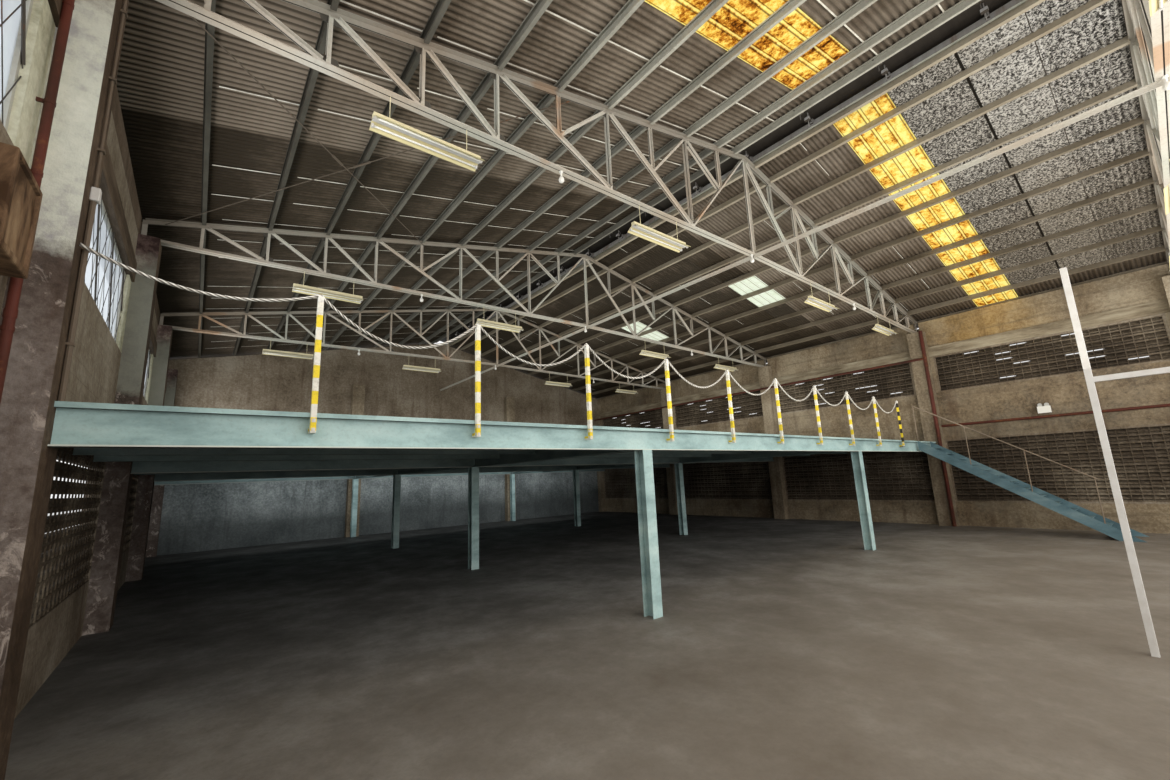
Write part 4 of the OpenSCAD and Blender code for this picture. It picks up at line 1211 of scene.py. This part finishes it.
def bulbs():
    """Small lamps on short stems under the bottom chords."""
    bm = bmesh.new()
    for line in LINES[1:-1]:
        for x in BULB_X:
            chord = chord_foot(x)
            low = chord - 0.15
            globe = bmesh.ops.create_uvsphere(bm, u_segments=12, v_segments=8, radius=BULB_R,
                                              matrix=Matrix.Translation((x, line, low)))["verts"]
            for v in globe:
                if v.co.z > low:
                    v.co.z = low + (v.co.z - low) * 1.5
            rod_at(bm, (x, line, low + 0.05), (x, line, chord + 0.005), 0.016)
            rod_at(bm, (x, line, chord - 0.02), (x, line, chord), 0.03, 12)
    piece("bulbs", bm, tube_white, smooth=False)


tubes()
bulbs()


# Fixtures on the left column and wall

CLIP_H = 0.02
SLEEVE = 0.004
RIGHT_RISER = (10.245, -0.195)
LEFT_RISER = (-10.53, -0.37)
RIGHT_RISER_R = 0.055
LEFT_RISER_R = 0.03
LOW_PIPE_X, LOW_PIPE_Z = 10.56, 3.48
HIGH_PIPE_X, HIGH_PIPE_Z = 10.26, 5.87
PIPE_R = 0.04


def column_conduit():
    """Conduit down the column's face, with a junction cap, and a stouter pipe to the deck."""
    bm = bmesh.new()
    x = -COLUMN_IN
    rod_at(bm, (x + 0.02, -0.02, 4.7), (x + 0.02, -0.02, 6.95), 0.012)
    rod_at(bm, (x + 0.022, -0.02, DECK_Z), (x + 0.022, -0.02, 4.67), 0.02)
    for z in (3.4, 4.2, 5.1, 5.8, 6.5):
        box_at(bm, (x - 0.001, -0.05, z), (x + 0.045, 0.01, z + CLIP_H))
    piece("column_conduit", bm, conduit_brown)
    bm = bmesh.new()
    box_at(bm, (x, -0.055, 4.64), (x + 0.06, 0.015, 4.76))
    bmesh.ops.bevel(bm, geom=bm.edges[:], offset=0.008, segments=2, profile=0.5, affect="EDGES", material=-1)
    piece("conduit_cap", bm, gloss_white)


def wall_box():
    """Brown box on the left wall, with a raised rim round its door."""
    bm = bmesh.new()
    x0, x1, y0, y1, z0, z1 = -WALL_IN, -10.43, -1.2, -0.6, 3.70, 4.35
    box_at(bm, (x0, y0, z0), (x1, y1, z1))
    bmesh.ops.bevel(bm, geom=bm.edges[:], offset=0.012, segments=2, profile=0.5, affect="EDGES", material=-1)
    door = [face for face in bm.faces if face.normal.x > 0.99 and face.calc_area() > 0.1]
    bmesh.ops.inset_region(bm, faces=door, thickness=0.045, depth=0.0)
    bmesh.ops.inset_region(bm, faces=door, thickness=0.012, depth=-0.018)
    piece("wall_box", bm, box_brown)


def wall_pipe_runs():
    """Round pipes with sleeves: runs along the right wall, its riser, and the thinner left riser."""
    bm = bmesh.new()
    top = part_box("wall_pipes")[1].z
    runs = [((LOW_PIPE_X, y0, LOW_PIPE_Z), (LOW_PIPE_X, y1, LOW_PIPE_Z), PIPE_R)
            for y0, y1 in ((line + COLUMN_W / 2, line + BAY - COLUMN_W / 2) for line in LINES[:3])]
    runs.append(((*RIGHT_RISER, FLOOR_Z), (*RIGHT_RISER, top), RIGHT_RISER_R))
    runs.append(((HIGH_PIPE_X, RIGHT_RISER[1], HIGH_PIPE_Z), (HIGH_PIPE_X, LINES[-1], HIGH_PIPE_Z), PIPE_R))
    runs.append(((*LEFT_RISER, FLOOR_Z), (*LEFT_RISER, top), LEFT_RISER_R))
    for start, end, radius in runs:
        start, end = Vector(start), Vector(end)
        rod_at(bm, start, end, radius, 24)
        count = round((end - start).length / 2.7)
        half = (end - start).normalized() * 0.03
        for i in range(1, count):
            at = start.lerp(end, i / count)
            rod_at(bm, at - half, at + half, radius + SLEEVE, 24)
    piece("pipe_runs", bm, pipe_red, ["wall_pipes"])


def pipe_clips():
    """Bands that hold the risers to the columns."""
    bm = bmesh.new()
    for (x, y), back, r in ((RIGHT_RISER, COLUMN_IN, RIGHT_RISER_R + SLEEVE),
                            (LEFT_RISER, -WALL_IN, LEFT_RISER_R + SLEEVE)):
        for z in (1.2, 2.4, 3.4, 4.6, 5.2, 6.1):
            rod_at(bm, (x, y, z - 0.015), (x, y, z + 0.015), r, 16)
            box_at(bm, (min(x, back), y - 0.008, z - 0.015), (max(x, back), y + 0.008, z + 0.015))
    piece("pipe_clips", bm, pipe_red)


column_conduit()
wall_box()
wall_pipe_runs()
pipe_clips()


# Light and stage

def lamp(name, kind, place, aim, energy, colour=(1, 1, 1), size=None):
    """Adds a lamp at a place, aimed at another, that the camera doesn't see."""
    data = bpy.data.lights.new(name, kind)
    data.energy = energy
    data.color = colour
    if size:
        data.shape = "RECTANGLE"
        data.size, data.size_y = size
    made = bpy.data.objects.new(name, data)
    made.location = place
    made.rotation_euler = (Vector(aim) - Vector(place)).to_track_quat("-Z", "Y").to_euler()
    made.visible_camera = False
    made.visible_glossy = False
    bpy.context.scene.collection.objects.link(made)
    return data


def flat_lamp(name, place, aim, level, size, colour=(1, 1, 1)):
    """A flat lamp that shines as brightly as a white wall would in the open, times its level."""
    lamp(name, "AREA", place, aim, level * math.pi * size[0] * size[1], colour, size)


HALL = (18.0, 34.0)
flat_lamp("floor_bounce", (2.5, -3.0, 3.2), (2.5, -3.0, 9), 0.95, (14.0, 28.0), (1, 0.95, 0.85))
flat_lamp("roof_glow", (0, 0, 6.3), (0, 0, 0), 0.35, HALL, (1, 0.97, 0.93))
flat_lamp("window_light", (-10.2, 0, 5.2), (0, 0, 5.6), 4.5, (34.0, 1.4), (1, 0.98, 0.94))
flat_lamp("near_light", (0, -9.5, 4.2), (0, 0, 4.4), 4.2, (18.0, 5.0), (1, 0.98, 0.94))
flat_lamp("far_light", (-1.0, 14.6, 2.2), (-1.0, 18.0, 2.5), 6.0, (16.0, 0.5), (0.95, 0.99, 1))
soft_sun = lamp("soft_sun", "SUN", (-20, -30, 40), (0, 0, 0), 1.1, (1, 0.98, 0.95))
soft_sun.angle = math.radians(25)

world = bpy.data.worlds.new("plain_sky")
bpy.context.scene.world = world
sky = Nodes(world, "ShaderNodeOutputWorld")
ray = sky.add("ShaderNodeLightPath").outputs
straight = sky.maths("MAXIMUM", ray["Is Camera Ray"], ray["Is Transmission Ray"])
seen = sky.maths("MAXIMUM", straight, ray["Is Glossy Ray"])
daylight = sky.add("ShaderNodeBackground", Color=(0.93, 0.96, 1.0, 1), Strength=0.85).outputs[0]
backdrop = sky.add("ShaderNodeBackground", Color=(1, 1, 1, 1), Strength=1.0).outputs[0]
sky.done(sky.layer(seen, daylight, backdrop))

bm = bmesh.new()
bmesh.ops.create_grid(bm, x_segments=1, y_segments=1, size=150, matrix=Matrix.Translation((0, 0, -0.004)))
mesh_object("stage", bm, Finish("pale_ground").coat((0.72, 0.71, 0.69), 0.9))

bpy.context.scene.view_settings.view_transform = "Standard"
